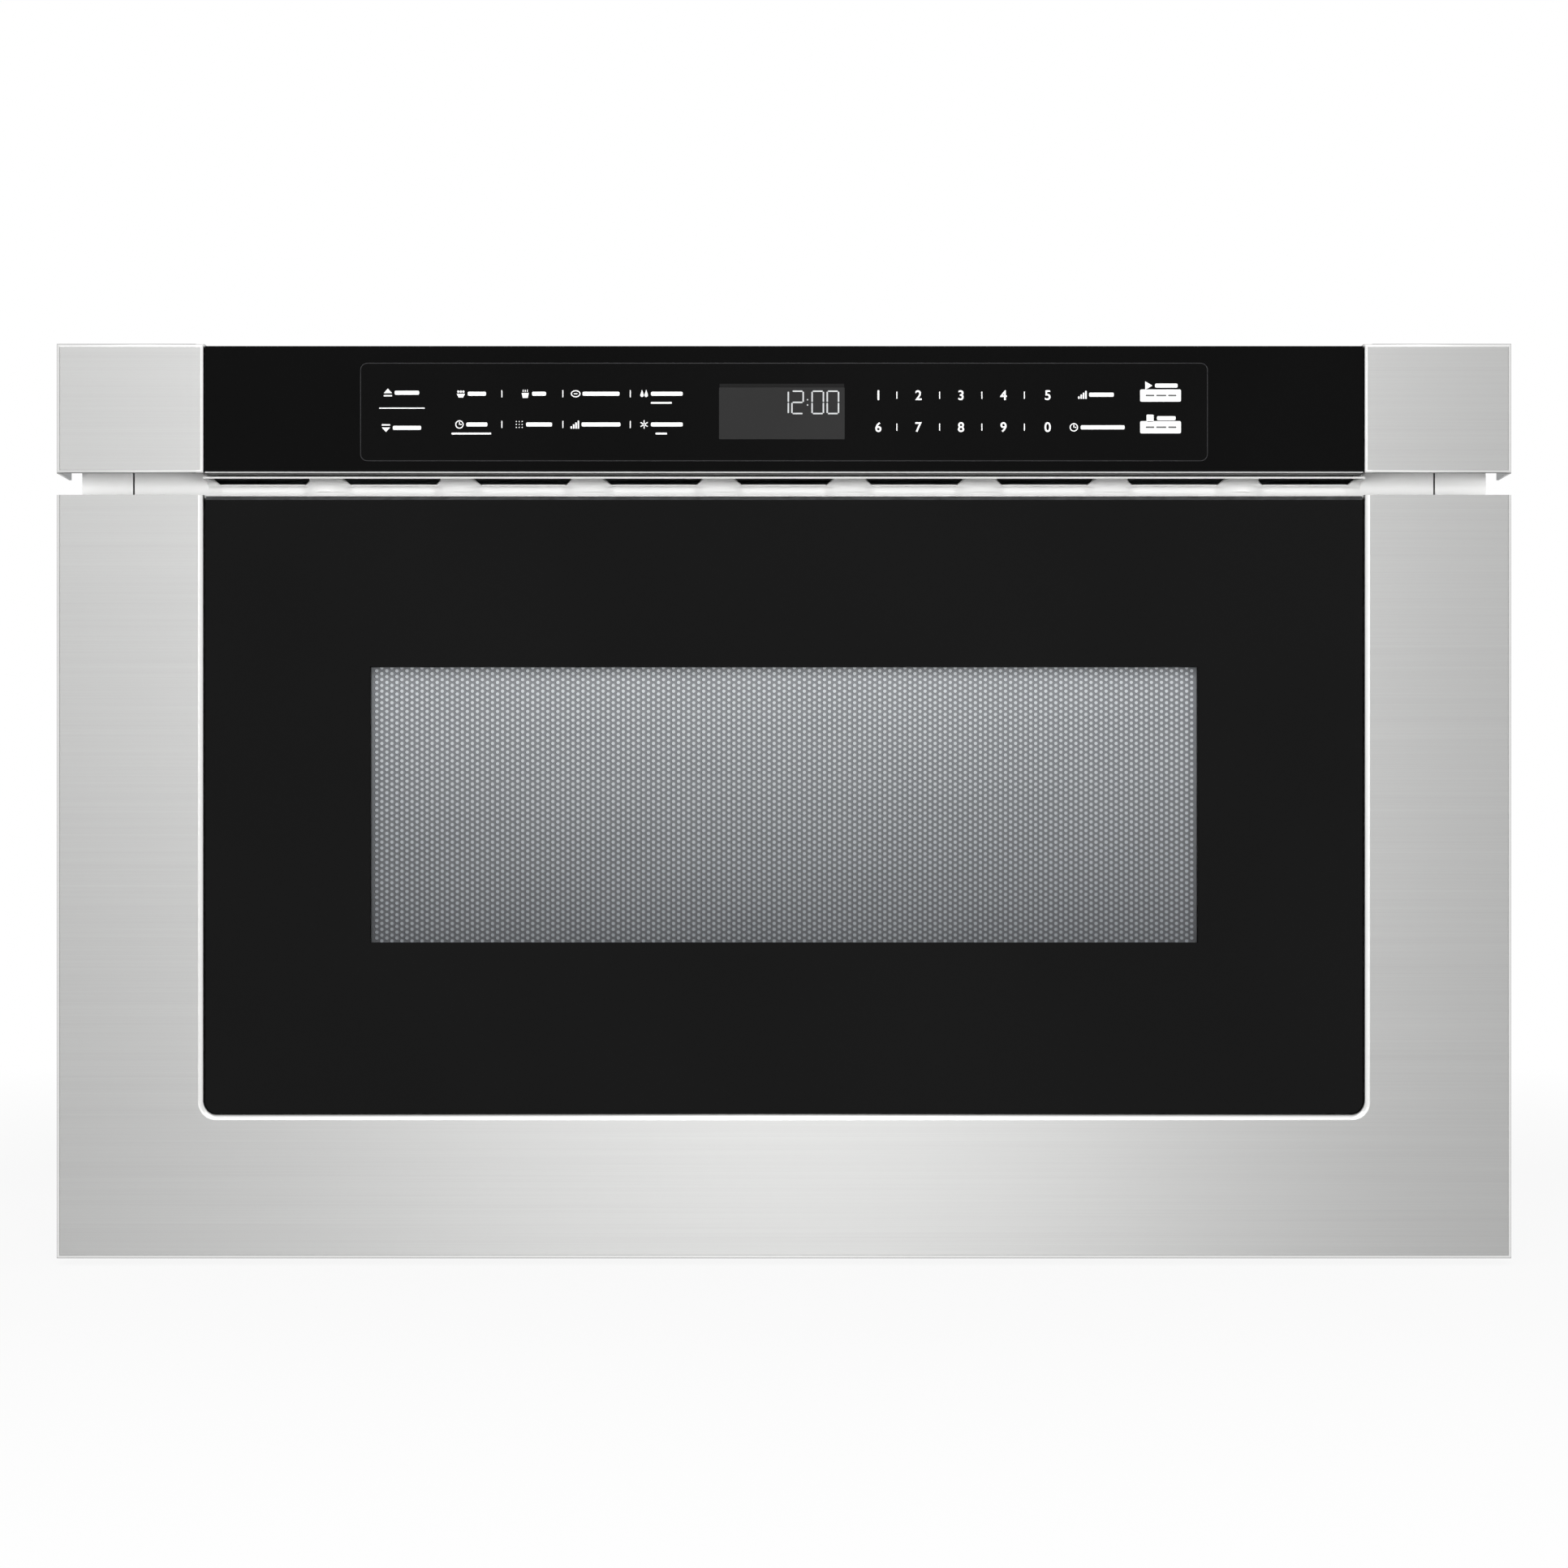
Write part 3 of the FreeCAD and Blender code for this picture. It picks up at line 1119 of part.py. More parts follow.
lamp_face = f"-({CAVITY_HALF} + cavity_sheet)"
lamp_low = f"{lamp_face} - lamp_set - lamp_length"
lamp_size = "2 * (lamp_radius + lamp_wall)"
lamp_socket = block("lamp_socket", (f"{lamp_low} - lamp_base", lamp_face), around(LAMP["y"], lamp_size),
                    around(LAMP["z"], lamp_size))
lamp_hollow = rod("lamp_hollow", "X", "lamp_radius + lamp_room", lamp_low, f"{lamp_face} + 1", **LAMP)
part("lamp_housing", cut("lamp_housing_cut", lamp_socket, lamp_hollow))
part("oven_lamp", rod("lamp", "X", "lamp_radius", lamp_low, f"{lamp_face} - lamp_set", **LAMP))


# ---- power parts and the cooling fan ---------------------------------------------------------------------

core_x = around("(-core_across)", "core_width")
core_y = around(REAR_MIDDLE, "core_depth")
core_z = (BASE_TOP, f"{BASE_TOP} + core_height")
core = block("core", core_x, core_y, core_z)
coil_x = grown(core_x, "-coil_side")
coil_z = grown(core_z, "-coil_end")
coil_front = block("coil_front", coil_x, (f"{core_y[0]} - coil_bulge", core_y[0]), coil_z)
coil_back = block("coil_back", coil_x, (core_y[1], f"{core_y[1]} + coil_bulge"), coil_z)
part("power_transformer", fuse("transformer", core, coil_front, coil_back))

can_x = around("(-capacitor_across)", "capacitor_length")
can_y = around(REAR_MIDDLE, "capacitor_width")
can_z = (BASE_TOP, f"{BASE_TOP} + capacitor_height")
part("capacitor", block("can", can_x, can_y, can_z))

FAN_BACK = f"({BACK} - sheet)"
FAN_FRONT = f"({FAN_BACK} - fan_thick)"
shroud_outer = block("shroud_outer", around(FAN_X, "fan_size"), (FAN_FRONT, FAN_BACK),
                     around("fan_rise", "fan_size"))
FAN_PLACE = {"x": FAN_X, "z": "fan_rise"}
SPIDER_FRONT = f"({FAN_FRONT} - spider_thick)"
shroud_bore = rod("shroud_bore", "Y", "fan_radius + tip_gap",
                  f"{FAN_FRONT} - 1", f"{FAN_BACK} + 1", **FAN_PLACE)
spider_y = (SPIDER_FRONT, FAN_FRONT)
spider_arm = block("spider_arm", around(FAN_X, "fan_size"), spider_y, around("fan_rise", "spider_width"))
spider_leg = block("spider_leg", around(FAN_X, "spider_width"), spider_y, around("fan_rise", "fan_size"))
spider_bore = rod("spider_bore", "Y", "fan_shaft / 2 + clearance",
                  f"{SPIDER_FRONT} - 1", f"{FAN_FRONT} + 1",
                  **FAN_PLACE)
spider = cut("spider", fuse("spider_cross", spider_arm, spider_leg), spider_bore)
part("fan_shroud", fuse("shroud", cut("shroud_ring", shroud_outer, shroud_bore), spider))

can = rod("fan_can", "Y", "fan_motor_radius",
          f"{SPIDER_FRONT} - fan_motor_length", SPIDER_FRONT, **FAN_PLACE)
can_bore = rod("fan_can_bore", "Y", "fan_shaft / 2 + running", f"{SPIDER_FRONT} - shaft_reach - bore_end",
               f"{SPIDER_FRONT} + 1", **FAN_PLACE)
part("fan_motor", cut("fan_motor_cut", can, can_bore))


def fan_blade():
    """A hub with pitched blades and the shaft that runs into its motor."""
    start = size("fan_inset")
    deep = size("fan_thick") - 2 * start
    wide = size("fan_chord")
    thick = size("fan_blade_thick")
    back = size("spider_thick") + size("shaft_reach")
    front = FreeCAD.Vector(0, start, 0)
    hub = Part.makeCylinder(size("fan_hub"), deep, front, ALONG_Y)
    shaft = Part.makeCylinder(size("fan_shaft") / 2, back + start + 1, FreeCAD.Vector(0, -back, 0), ALONG_Y)
    rim = Part.makeCylinder(size("fan_radius"), deep, front, ALONG_Y)
    pieces = [shaft]
    count = int(size("fan_blades"))
    for index in range(count):
        blade = Part.makeBox(wide, thick, size("fan_radius"), FreeCAD.Vector(-wide / 2, -thick / 2, 0))
        blade.rotate(FreeCAD.Vector(), UP, 32)
        blade.translate(FreeCAD.Vector(0, start + deep / 2, 0))
        blade = blade.common(rim)
        blade.rotate(FreeCAD.Vector(), ALONG_Y, 360 * index / count)
        pieces.append(blade)
    made = doc.addObject("Part::Feature", "fan")
    made.Shape = hub.fuse(pieces).removeSplitter()
    return place(made, FAN_X, FAN_FRONT, "fan_rise")


part("fan_blade", fan_blade())


# ---- the control panel -----------------------------------------------------------------------------------

def panel_cap(side, hand):
    """An end of the control panel: a folded sheet box, open below and behind."""
    body = body_for(f"panel_cap_{hand}")
    near = (GLASS_HALF, HALF) if side > 0 else mirrored(GLASS_HALF, HALF)
    inner = grown(near, "-steel")
    extrude(body, "XZ", rectangle(near, PANEL_Z), FRONT, FLANGE)
    round_edges(body, "edge_round", lambda edge: at(edge, 1, FRONT))
    hollow = rectangle(inner, (f"{FRONT} + steel", f"{FLANGE} + 1"))
    extrude(body, "XY", hollow, f"{PANEL_LOW} - 1", f"{PANEL_TOP} - steel", cutting=True)
    return body


part("panel_cap_left", panel_cap(-1, "left"))
part("panel_cap_right", panel_cap(1, "right"))

FASCIA_X = both(f"{GLASS_HALF} - clearance")
FASCIA_Z = (f"{PANEL_LOW} + fascia_drop", f"{PANEL_TOP} - fascia_drop")
FASCIA_Y = (f"{FRONT} + fascia_recess", f"{FRONT} + fascia_recess + fascia_thick")
FASCIA_BACK = f"({FASCIA_Y[1]})"
part("fascia_glass", block("fascia", FASCIA_X, FASCIA_Y, FASCIA_Z))
part("fascia_strip", block("strip", FASCIA_X, (FASCIA_Y[0], f"{FASCIA_Y[0]} + strip_depth"),
                           (f"{FASCIA_Z[0]} - strip_thick", FASCIA_Z[0])))

KEYPAD_MIDDLE = f"({PANEL_LOW} + panel_height / 2 - keypad_drop)"
KEYPAD_Z = around(KEYPAD_MIDDLE, "overlay_height")


def touch_overlay():
    """The film over the keys."""
    body = body_for("touch_overlay")
    outline = rectangle(both("overlay_width / 2"), KEYPAD_Z)
    extrude(body, "XZ", outline, f"{FASCIA_Y[0]} - overlay_thick", FASCIA_Y[0])
    round_edges(body, "overlay_corner", lambda edge: straight(edge, ALONG_Y))
    return body


part("touch_overlay", touch_overlay())

DISPLAY_Y = (FASCIA_BACK, f"{FASCIA_BACK} + display_thick")
DISPLAY_Z = around(KEYPAD_MIDDLE, "display_height")
part("display_module", block("display", around("(-display_across)", "display_width"), DISPLAY_Y, DISPLAY_Z))

BOARD_Y = (DISPLAY_Y[1], f"{DISPLAY_Y[1]} + board_thick")
HOUSING_BACK = f"({FASCIA_BACK} + housing_depth)"
part("control_board", block("board", both("board_width / 2"), BOARD_Y, grown(FASCIA_Z, "-board_margin")))

housing_outer = block("housing_outer", both(GLASS_HALF), (FASCIA_BACK, HOUSING_BACK), FASCIA_Z)
housing_inner = block("housing_inner", both(f"{GLASS_HALF} - housing_wall"),
                      (f"{FASCIA_BACK} - 1", f"{HOUSING_BACK} - housing_wall"),
                      grown(FASCIA_Z, "-housing_wall"))
housing_shell = cut("housing_shell", housing_outer, housing_inner)
posts = []
for hand, x in (("left", "-post_across"), ("middle", "post_middle"), ("right", "post_across")):
    for level, z in (("low", f"{FASCIA_Z[0]} + post_inset"), ("high", f"{FASCIA_Z[1]} - post_inset")):
        posts.append(rod(f"post_{hand}_{level}", "Y", "post_radius", BOARD_Y[1],
                         f"{HOUSING_BACK} - housing_wall / 2", x=x, z=z))
part("panel_housing", fuse("housing", housing_shell, *posts))

# The carrier is an angle, open below, so that the vents lead into it.
carrier_z = (f"{PLATE_TOP} + clearance", f"{PANEL_TOP} - carrier_drop")
carrier_outer = block("carrier_outer", both(GLASS_HALF), (HOUSING_BACK, CABINET), carrier_z)
carrier_inner = block("carrier_inner", both(f"{GLASS_HALF} + 1"), (f"{HOUSING_BACK} - 1", FLANGE),
                      (f"{carrier_z[0]} - 1", f"{carrier_z[1]} - sheet"))
part("panel_carrier", cut("carrier", carrier_outer, carrier_inner))


# ---- fasteners -------------------------------------------------------------------------------------------

heads = []
for side, hand in ((-1, "left"), (1, "right")):
    outer = side_span(side, "-sheet - head_height", "-sheet")
    for row, z in enumerate(("case_row_low", "rail_rise", "case_height - case_row_drop")):
        for column, y in enumerate((f"{CABINET} + case_row_set", STIRRER_Y, f"{BACK} - case_row_set")):
            heads.append(rod(f"head_{hand}_{row}_{column}", "X", "screw_head", *outer, y=y, z=z))
for hand, x in (("left", f"-({WALL} - rear_screw_inset)"), ("right", f"({WALL} - rear_screw_inset)")):
    for row, z in enumerate(("rear_screw_low", "case_height - rear_screw_drop")):
        heads.append(rod(f"head_rear_{hand}_{row}", "Y", "screw_head",
                         BACK, f"{BACK} + head_height", x=x, z=z))
part("case_screws", group("case_heads", *heads))

door_heads = []
EDGE_X = f"({HALF} - door_screw_inset)"
TAB_X = f"({WALL} - {INNER_FACE} - tab_screw_set)"
TAB_Y = f"{DOOR_BACK} + arm_sheet"
for hand, sign in (("left", "-"), ("right", "")):
    for name, x, y, z in (("top", EDGE_X, DOOR_BACK, f"{DOOR_TOP} - door_screw_inset"),
                          ("middle", EDGE_X, DOOR_BACK, f"{DOOR_TOP} - door_screw_drop"),
                          ("low", EDGE_X, DOOR_BACK, "door_lift + door_screw_inset"),
                          ("tab_high", TAB_X, TAB_Y, "rail_rise + tab_screw_half"),
                          ("tab_low", TAB_X, TAB_Y, "rail_rise - tab_screw_half")):
        door_heads.append(rod(f"door_head_{hand}_{name}", "Y", "screw_head", y, f"{y} + door_head_height",
                              x=f"{sign}{x}", z=z))
part("door_screws", group("door_heads", *door_heads))


# ---- checks and files ------------------------------------------------------------------------------------

doc.removeObject("probe")
doc.recompute()
os.makedirs("parts", exist_ok=True)
for thing in doc.Objects:
    if "Invalid" in thing.State or "Error" in thing.State:
        raise ValueError(f"{thing.Label}: {thing.State}")
for thing in PARTS:
    shape = thing.Shape
    if shape.isNull() or not shape.isValid() or not shape.Solids:
        raise ValueError(f"{thing.Label} is not a valid solid")
    shape.exportStep(f"parts/{thing.Label}.step")
    box = shape.BoundBox
    print(f"{thing.Label:20s} {len(shape.Solids):3d} x {box.XMin:8.2f} {box.XMax:8.2f} y {box.YMin:8.2f}"
          f" {box.YMax:8.2f} z {box.ZMin:8.2f} {box.ZMax:8.2f}")
print(f"{len(PARTS)} nodes")
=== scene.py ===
"""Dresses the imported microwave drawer.

Finer meshes stand over some nodes, the control panel gets its printed marks, and each slot gets its material.
Meshes are made in millimetres. Materials, lamps and the camera are in metres.
"""

import json
import math

import bmesh
import bpy
from mathutils import Matrix, Vector


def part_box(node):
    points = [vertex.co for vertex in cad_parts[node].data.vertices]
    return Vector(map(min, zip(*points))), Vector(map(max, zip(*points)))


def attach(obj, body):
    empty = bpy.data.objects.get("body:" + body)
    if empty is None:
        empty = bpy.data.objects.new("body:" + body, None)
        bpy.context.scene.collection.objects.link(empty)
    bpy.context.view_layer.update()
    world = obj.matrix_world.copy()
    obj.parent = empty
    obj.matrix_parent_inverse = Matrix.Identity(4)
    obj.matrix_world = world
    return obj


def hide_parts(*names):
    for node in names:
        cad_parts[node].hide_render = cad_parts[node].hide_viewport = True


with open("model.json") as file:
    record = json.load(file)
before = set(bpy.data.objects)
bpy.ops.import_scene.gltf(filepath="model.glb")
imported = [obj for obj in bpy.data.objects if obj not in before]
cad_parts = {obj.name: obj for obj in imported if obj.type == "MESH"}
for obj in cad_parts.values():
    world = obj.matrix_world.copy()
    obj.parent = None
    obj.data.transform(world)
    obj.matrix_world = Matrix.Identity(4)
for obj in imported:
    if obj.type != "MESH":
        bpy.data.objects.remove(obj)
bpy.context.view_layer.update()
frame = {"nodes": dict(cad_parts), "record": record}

NODES = frame["nodes"]
MM = 0.001
WINDOW_X = (-172.5, 172.5)  # the clear window in the door
WINDOW_Z = (134.5, 249.5)
GLASS_SIDE = (0.2445, 0.2455)  # steel meets black glass here, in metres from the middle
RAIL_TOP = (0.056, 0.058)  # top of the door's bottom rail, in metres
STRIP_LINE = 0.33065  # the panel's strip is silver up to here, in metres


# ---- materials ----

def linear(grey):
    """A scene-linear value from an sRGB level of 0 to 255."""
    level = grey / 255
    return level / 12.92 if level <= 0.04045 else ((level + 0.055) / 1.055) ** 2.4


def tone(*levels):
    """A linear colour from sRGB levels. One level makes a grey."""
    levels = levels * 3 if len(levels) == 1 else levels
    return [linear(level) for level in levels]


class Nodes:
    """Adds nodes and links to a node tree."""

    def __init__(self, tree):
        self.tree = tree

    def node(self, kind, **settings):
        """A new node with these settings."""
        made = self.tree.nodes.new(kind)
        for name, value in settings.items():
            setattr(made, name, value)
        return made

    def join(self, source, target):
        """A link from an output to an input."""
        self.tree.links.new(source, target)

    def scaled(self, source, low, high, start=0.3, end=0.7):
        """The source's span from start to end, moved to low to high."""
        made = self.node("ShaderNodeMapRange")
        for name, value in (("From Min", start), ("From Max", end), ("To Min", low), ("To Max", high)):
            made.inputs[name].default_value = value
        self.join(source, made.inputs["Value"])
        return made.outputs["Result"]

    def part(self, vector, axis):
        """One coordinate of a vector."""
        split = self.node("ShaderNodeSeparateXYZ")
        self.join(vector, split.inputs[0])
        return split.outputs[axis]

    def times(self, first, second):
        """Two values multiplied."""
        made = self.node("ShaderNodeMath", operation="MULTIPLY")
        self.join(first, made.inputs[0])
        self.join(second, made.inputs[1])
        return made.outputs[0]

    def output(self, kind, share, first, second):
        """The tree's output, a blend of two shaders: all of the second one where the share is 1."""
        mix = self.node("ShaderNodeMixShader")
        self.join(share, mix.inputs[0])
        self.join(first.outputs[0], mix.inputs[1])
        self.join(second.outputs[0], mix.inputs[2])
        self.join(mix.outputs[0], self.node(kind).inputs["Surface"])


class Shader(Nodes):
    """A material with one principled surface."""

    def __init__(self, name):
        self.material = bpy.data.materials.new(name)
        self.material.use_nodes = True
        super().__init__(self.material.node_tree)
        self.surface = self.tree.nodes["Principled BSDF"]
        self.coordinates = self.node("ShaderNodeTexCoord").outputs["Object"]

    def noise(self, stretch, detail=3.0, rough=0.55):
        """Noise over the object's own coordinates, in cells per metre, or in a number for each axis."""
        mapping = self.node("ShaderNodeMapping")
        mapping.inputs["Scale"].default_value = stretch if isinstance(stretch, tuple) else (stretch,) * 3
        texture = self.node("ShaderNodeTexNoise")
        texture.inputs["Scale"].default_value = 1
        texture.inputs["Detail"].default_value = detail
        texture.inputs["Roughness"].default_value = rough
        self.join(self.coordinates, mapping.inputs["Vector"])
        self.join(mapping.outputs["Vector"], texture.inputs["Vector"])
        return texture.outputs["Fac"]

    def blend(self, factor, first, second):
        """A colour between two."""
        made = self.node("ShaderNodeMix", data_type="RGBA")
        self.join(factor, made.inputs["Factor"])
        for socket, colour in ((made.inputs[6], first), (made.inputs[7], second)):
            if isinstance(colour, (list, tuple)):
                socket.default_value = (*colour[:3], 1)
            else:
                self.join(colour, socket)
        return made.outputs[2]

    def product(self, first, second):
        """Two colours multiplied."""
        made = self.node("ShaderNodeMix", data_type="RGBA", blend_type="MULTIPLY")
        made.inputs["Factor"].default_value = 1
        self.join(first, made.inputs[6])
        self.join(second, made.inputs[7])
        return made.outputs[2]

    def ramp(self, factor, *stops):
        """A grey that runs through (place, level) pairs."""
        made = self.node("ShaderNodeValToRGB")
        marks = made.color_ramp.elements
        for index, (place, level) in enumerate(stops):
            mark = marks[index] if index < 2 else marks.new(place)
            mark.position = place
            mark.color = (level, level, level, 1)
        self.join(factor, made.inputs["Fac"])
        return made.outputs["Color"]

    def facing(self):
        """1 where the surface faces the front, 0 where it is square to that."""
        normal = self.node("ShaderNodeNewGeometry").outputs["Normal"]
        return self.scaled(self.part(normal, "Y"), 1, 0, -1, 0)

    def beside_glass(self):
        """1 on the folds next to the black glass, 0 at the outside of the object."""
        across = self.node("ShaderNodeMath", operation="ABSOLUTE")
        self.join(self.part(self.coordinates, "X"), across.inputs[0])
        near = self.scaled(across.outputs[0], 1, 0, *GLASS_SIDE)
        above = self.scaled(self.part(self.coordinates, "Z"), 0, 1, *RAIL_TOP)
        return self.times(near, above)

    def bump(self, height, distance, strength=1.0):
        """Height as relief, at most that many metres deep."""
        made = self.node("ShaderNodeBump")
        made.inputs["Distance"].default_value = distance
        made.inputs["Strength"].default_value = strength
        self.join(height, made.inputs["Height"])
        self.join(made.outputs["Normal"], self.surface.inputs["Normal"])

    def set(self, **values):
        """Sockets of the surface, by name: a value is written there, and a node's output is joined."""
        for name, value in values.items():
            socket = self.surface.inputs[name.replace("_", " ")]
            if isinstance(value, bpy.types.NodeSocket):
                self.join(value, socket)
            else:
                socket.default_value = (*value, 1) if isinstance(value, (list, tuple)) else value


def finish_of(name, colour, rough, vary=0.08, stretch=60, spread=0.06, grain=0.0, **fixed):
    """A finish with soft colour variation, uneven gloss and a fine grain."""
    made = Shader(name)
    broad = made.noise(stretch)
    fine = made.noise(900, 2.0)
    low = [channel * (1 - vary) for channel in colour]
    high = [min(1, channel * (1 + vary)) for channel in colour]
    made.set(Base_Color=made.blend(made.scaled(broad, 0, 1), low, high),
             Roughness=made.scaled(fine, max(0.02, rough - spread), rough + spread), **fixed)
    if grain:
        made.bump(fine, grain)
    return made.material


# Painted highlight and painted dark line on a brushed surface's folds: how much it reflects, as (how far it
# faces the front, share) pairs.
OUTER_FOLDS = ((0.0, 0.37), (0.06, 0.37), (0.14, 0.12), (0.42, 0.16), (0.62, 0.9), (0.93, 0.9),
               (0.996, 0.355))
GLASS_FOLDS = ((0.0, 0.37), (0.04, 0.37), (0.1, 0.95), (0.95, 0.95), (0.997, 0.355))


def brushed(name, colour, rough):
    """Steel brushed along X: fine lines in colour, gloss and height, over soft clouds.

    Its folded edges get a painted highlight, with a painted dark line at the outside of the fold.
    """
    made = Shader(name)
    lines = made.noise((5, 2600, 2600), 4.0, 0.7)
    streaks = made.noise((2, 320, 320), 2.0)
    clouds = made.noise((5, 5, 3), 1.0)
    low = [channel * 0.96 for channel in colour]
    high = [channel * 1.035 for channel in colour]
    fine = made.blend(made.scaled(lines, 0, 1), low, high)
    coarse = made.blend(made.scaled(streaks, 0, 1), [0.975] * 3, [1.0] * 3)
    facing = made.facing()
    # Painted highlight and painted dark line on the folds, chosen by how far the surface faces the front.
    painted_fold_highlight_and_shade = made.blend(made.beside_glass(), made.ramp(facing, *OUTER_FOLDS), made.ramp(facing, *GLASS_FOLDS))
    shade = made.product(made.blend(made.scaled(clouds, 0, 1), [0.97] * 3, [1.0] * 3), painted_fold_highlight_and_shade)
    tangent = made.node("ShaderNodeTangent", direction_type="RADIAL", axis="Z")
    made.join(tangent.outputs["Tangent"], made.surface.inputs["Tangent"])
    made.set(Base_Color=made.product(made.product(fine, coarse), shade), Metallic=1.0, Anisotropic=0.85,
             Anisotropic_Rotation=0.25, Roughness=made.scaled(lines, rough - 0.03, rough + 0.03))
    made.bump(lines, 0.000004, 0.2)
    return made.material


def edged(name, colour, rough, height):
    """A strip whose front is silver up to a height, and black above and beneath; the black beneath is painted
    shade.
    """
    made = Shader(name)
    soft = 0.00002  # half the height over which silver turns to black
    # Only the front below the line is silver; the underside is painted black as painted shade of the gap
    # under the panel.
    lower = made.scaled(made.part(made.coordinates, "Z"), 1, 0, height - soft, height + soft)
    front = made.scaled(made.facing(), 0, 1, 0.6, 0.7)
    bright = made.times(lower, front)
    grain = made.noise((8, 900, 900), 2.0)
    silver = made.blend(made.scaled(grain, 0, 1), [c * 0.9 for c in colour], colour)
    made.set(Base_Color=made.blend(bright, tone(8), silver), Metallic=bright,
             Roughness=made.scaled(grain, rough - 0.05, rough + 0.05), Specular_IOR_Level=0.05)
    return made.material


def dark_glass(name, level, gloss):
    """Black glass: nearly even, with the faintest haze in its gloss."""
    made = Shader(name)
    haze = made.noise(9, 2.0)
    made.set(Base_Color=made.blend(made.scaled(haze, 0, 1), tone(level - 1), tone(level + 1)),
             Roughness=made.scaled(haze, 0.03, 0.07), Specular_IOR_Level=gloss)
    return made.material


def speckled(name, colour, dots, rough):
    """Enamel or ceramic with fine specks."""
    made = Shader(name)
    specks = made.noise(1900, 1.0)
    cloud = made.noise(14, 2.0)
    base = made.blend(made.scaled(cloud, 0, 1), [c * 0.96 for c in colour],
                      [min(1, c * 1.03) for c in colour])
    made.set(Base_Color=made.blend(made.scaled(specks, 0, 0.8, 0.53, 0.6), base, dots),
             Roughness=made.scaled(cloud, rough - 0.05, rough + 0.06))
    made.bump(cloud, 0.00006, 0.4)
    return made.material


def spangled(name, colour, rough):
    """Zinc-coated sheet with its crystal pattern."""
    made = Shader(name)
    cells = made.node("ShaderNodeTexVoronoi")
    cells.inputs["Scale"].default_value = 130
    made.join(made.coordinates, cells.inputs["Vector"])
    grain = made.noise((40, 40, 700), 3.0)
    tint = made.blend(made.scaled(cells.outputs["Distance"], 0, 1, 0, 0.8), [c * 0.93 for c in colour],
                      [min(1, c * 1.05) for c in colour])
    made.set(Base_Color=tint, Metallic=0.85, Roughness=made.scaled(grain, rough - 0.08, rough + 0.08))
    made.bump(cells.outputs["Distance"], 0.00002, 0.3)
    return made.material


def in_window(name, dark, light, rough):
    """Painted light of what shows in the window: brightest at its top and middle, with painted shade, darker
    and cooler, at its foot and sides.
    """
    made = Shader(name)
    low, high = [z * MM for z in WINDOW_Z]
    left, right = [x * MM for x in WINDOW_X]
    up = made.scaled(made.part(made.coordinates, "Z"), 0, 1, low, high)
    upright = made.blend(up, tone(*dark), tone(*light))
    across = made.scaled(made.part(made.coordinates, "X"), -1, 1, left, right)
    sides = made.blend(made.times(across, across), [1.0] * 3, [0.94, 0.94, 0.95])
    cloud = made.noise(30, 2.0)
    made.set(Base_Color=made.product(upright, sides),
             Roughness=made.scaled(cloud, rough - 0.08, rough + 0.08))
    return made.material


# A material for each slot: after its colour come roughness, the colour's variation and the noise's stretch.
SLOTS = {
    "stainless": brushed("stainless", tone(250, 250, 249), 0.38),
    "smoked_glass": dark_glass("smoked_glass", 6, 0.1),
    "clear_glass": finish_of("clear_glass", tone(206, 214, 216), 0.06, 0.02, spread=0.03, Alpha=0.22),
    "black_plastic": finish_of("black_plastic", tone(34), 0.5, 0.12, grain=0.00004),
    # The screen's sheet carries painted light: lighter at the window's top and middle, darker at its foot and
    # sides.
    "screen_metal": in_window("screen_metal", (72, 74, 77), (130, 133, 136), 0.45),
    "grey_enamel": speckled("grey_enamel", tone(196, 197, 196), tone(174, 176, 177), 0.36),
    "white_sheet": finish_of("white_sheet", tone(249, 249, 248), 0.38, 0.01, 8, grain=0.00001),
    "galvanised": spangled("galvanised", tone(196, 199, 201), 0.38),
    "choke_plastic": finish_of("choke_plastic", tone(58, 59, 61), 0.42, 0.08, grain=0.00005),
    "ceramic": speckled("ceramic", tone(228, 227, 221), tone(196, 195, 188), 0.18),
    "zinc_steel": finish_of("zinc_steel", tone(205, 206, 203), 0.28, 0.06, (6, 90, 90), Metallic=0.95),
    "cage_metal": finish_of("cage_metal", tone(206, 184, 132), 0.30, 0.08, (8, 60, 60), Metallic=0.9),
    "white_plastic": finish_of("white_plastic", tone(228, 227, 221), 0.42, 0.03, grain=0.00003,
                               Subsurface_Weight=0.05),
    "display": dark_glass("display", 40, 0.12),
    "film": dark_glass("film", 5, 0.06),
    "board_green": finish_of("board_green", tone(36, 104, 58), 0.35, 0.15, 240),
    "rubber": finish_of("rubber", tone(44), 0.72, 0.12, grain=0.0001),
    "motor_steel": finish_of("motor_steel", tone(176, 178, 180), 0.34, 0.08, (20, 20, 240), Metallic=0.9),
    "mica": finish_of("mica", tone(222, 214, 192), 0.48, 0.06, (30, 120, 30), grain=0.00004),
    "aluminium": finish_of("aluminium", tone(214, 216, 218), 0.32, 0.05, (10, 160, 10), Metallic=0.95),
    "lamination": finish_of("lamination", tone(70, 68, 68), 0.5, 0.3, (6, 6, 1400), grain=0.0001,
                            Metallic=0.4),
    "bulb": finish_of("bulb", tone(240, 238, 230), 0.1, 0.02, Alpha=0.45),
    "screw": finish_of("screw", tone(188, 188, 186), 0.26, 0.08, 200, Metallic=1.0),
}

# Materials of the meshes that are made below.
FROSTED = finish_of("frosted_edge", tone(48, 49, 50), 0.62, 0.5, (260, 260, 900), 0.12, 0.00004)
WINDOW = finish_of("window_glass", tone(14, 15, 16), 0.05, 0.1, 9, 0.02, Alpha=0.10,
                   Specular_IOR_Level=0.2)
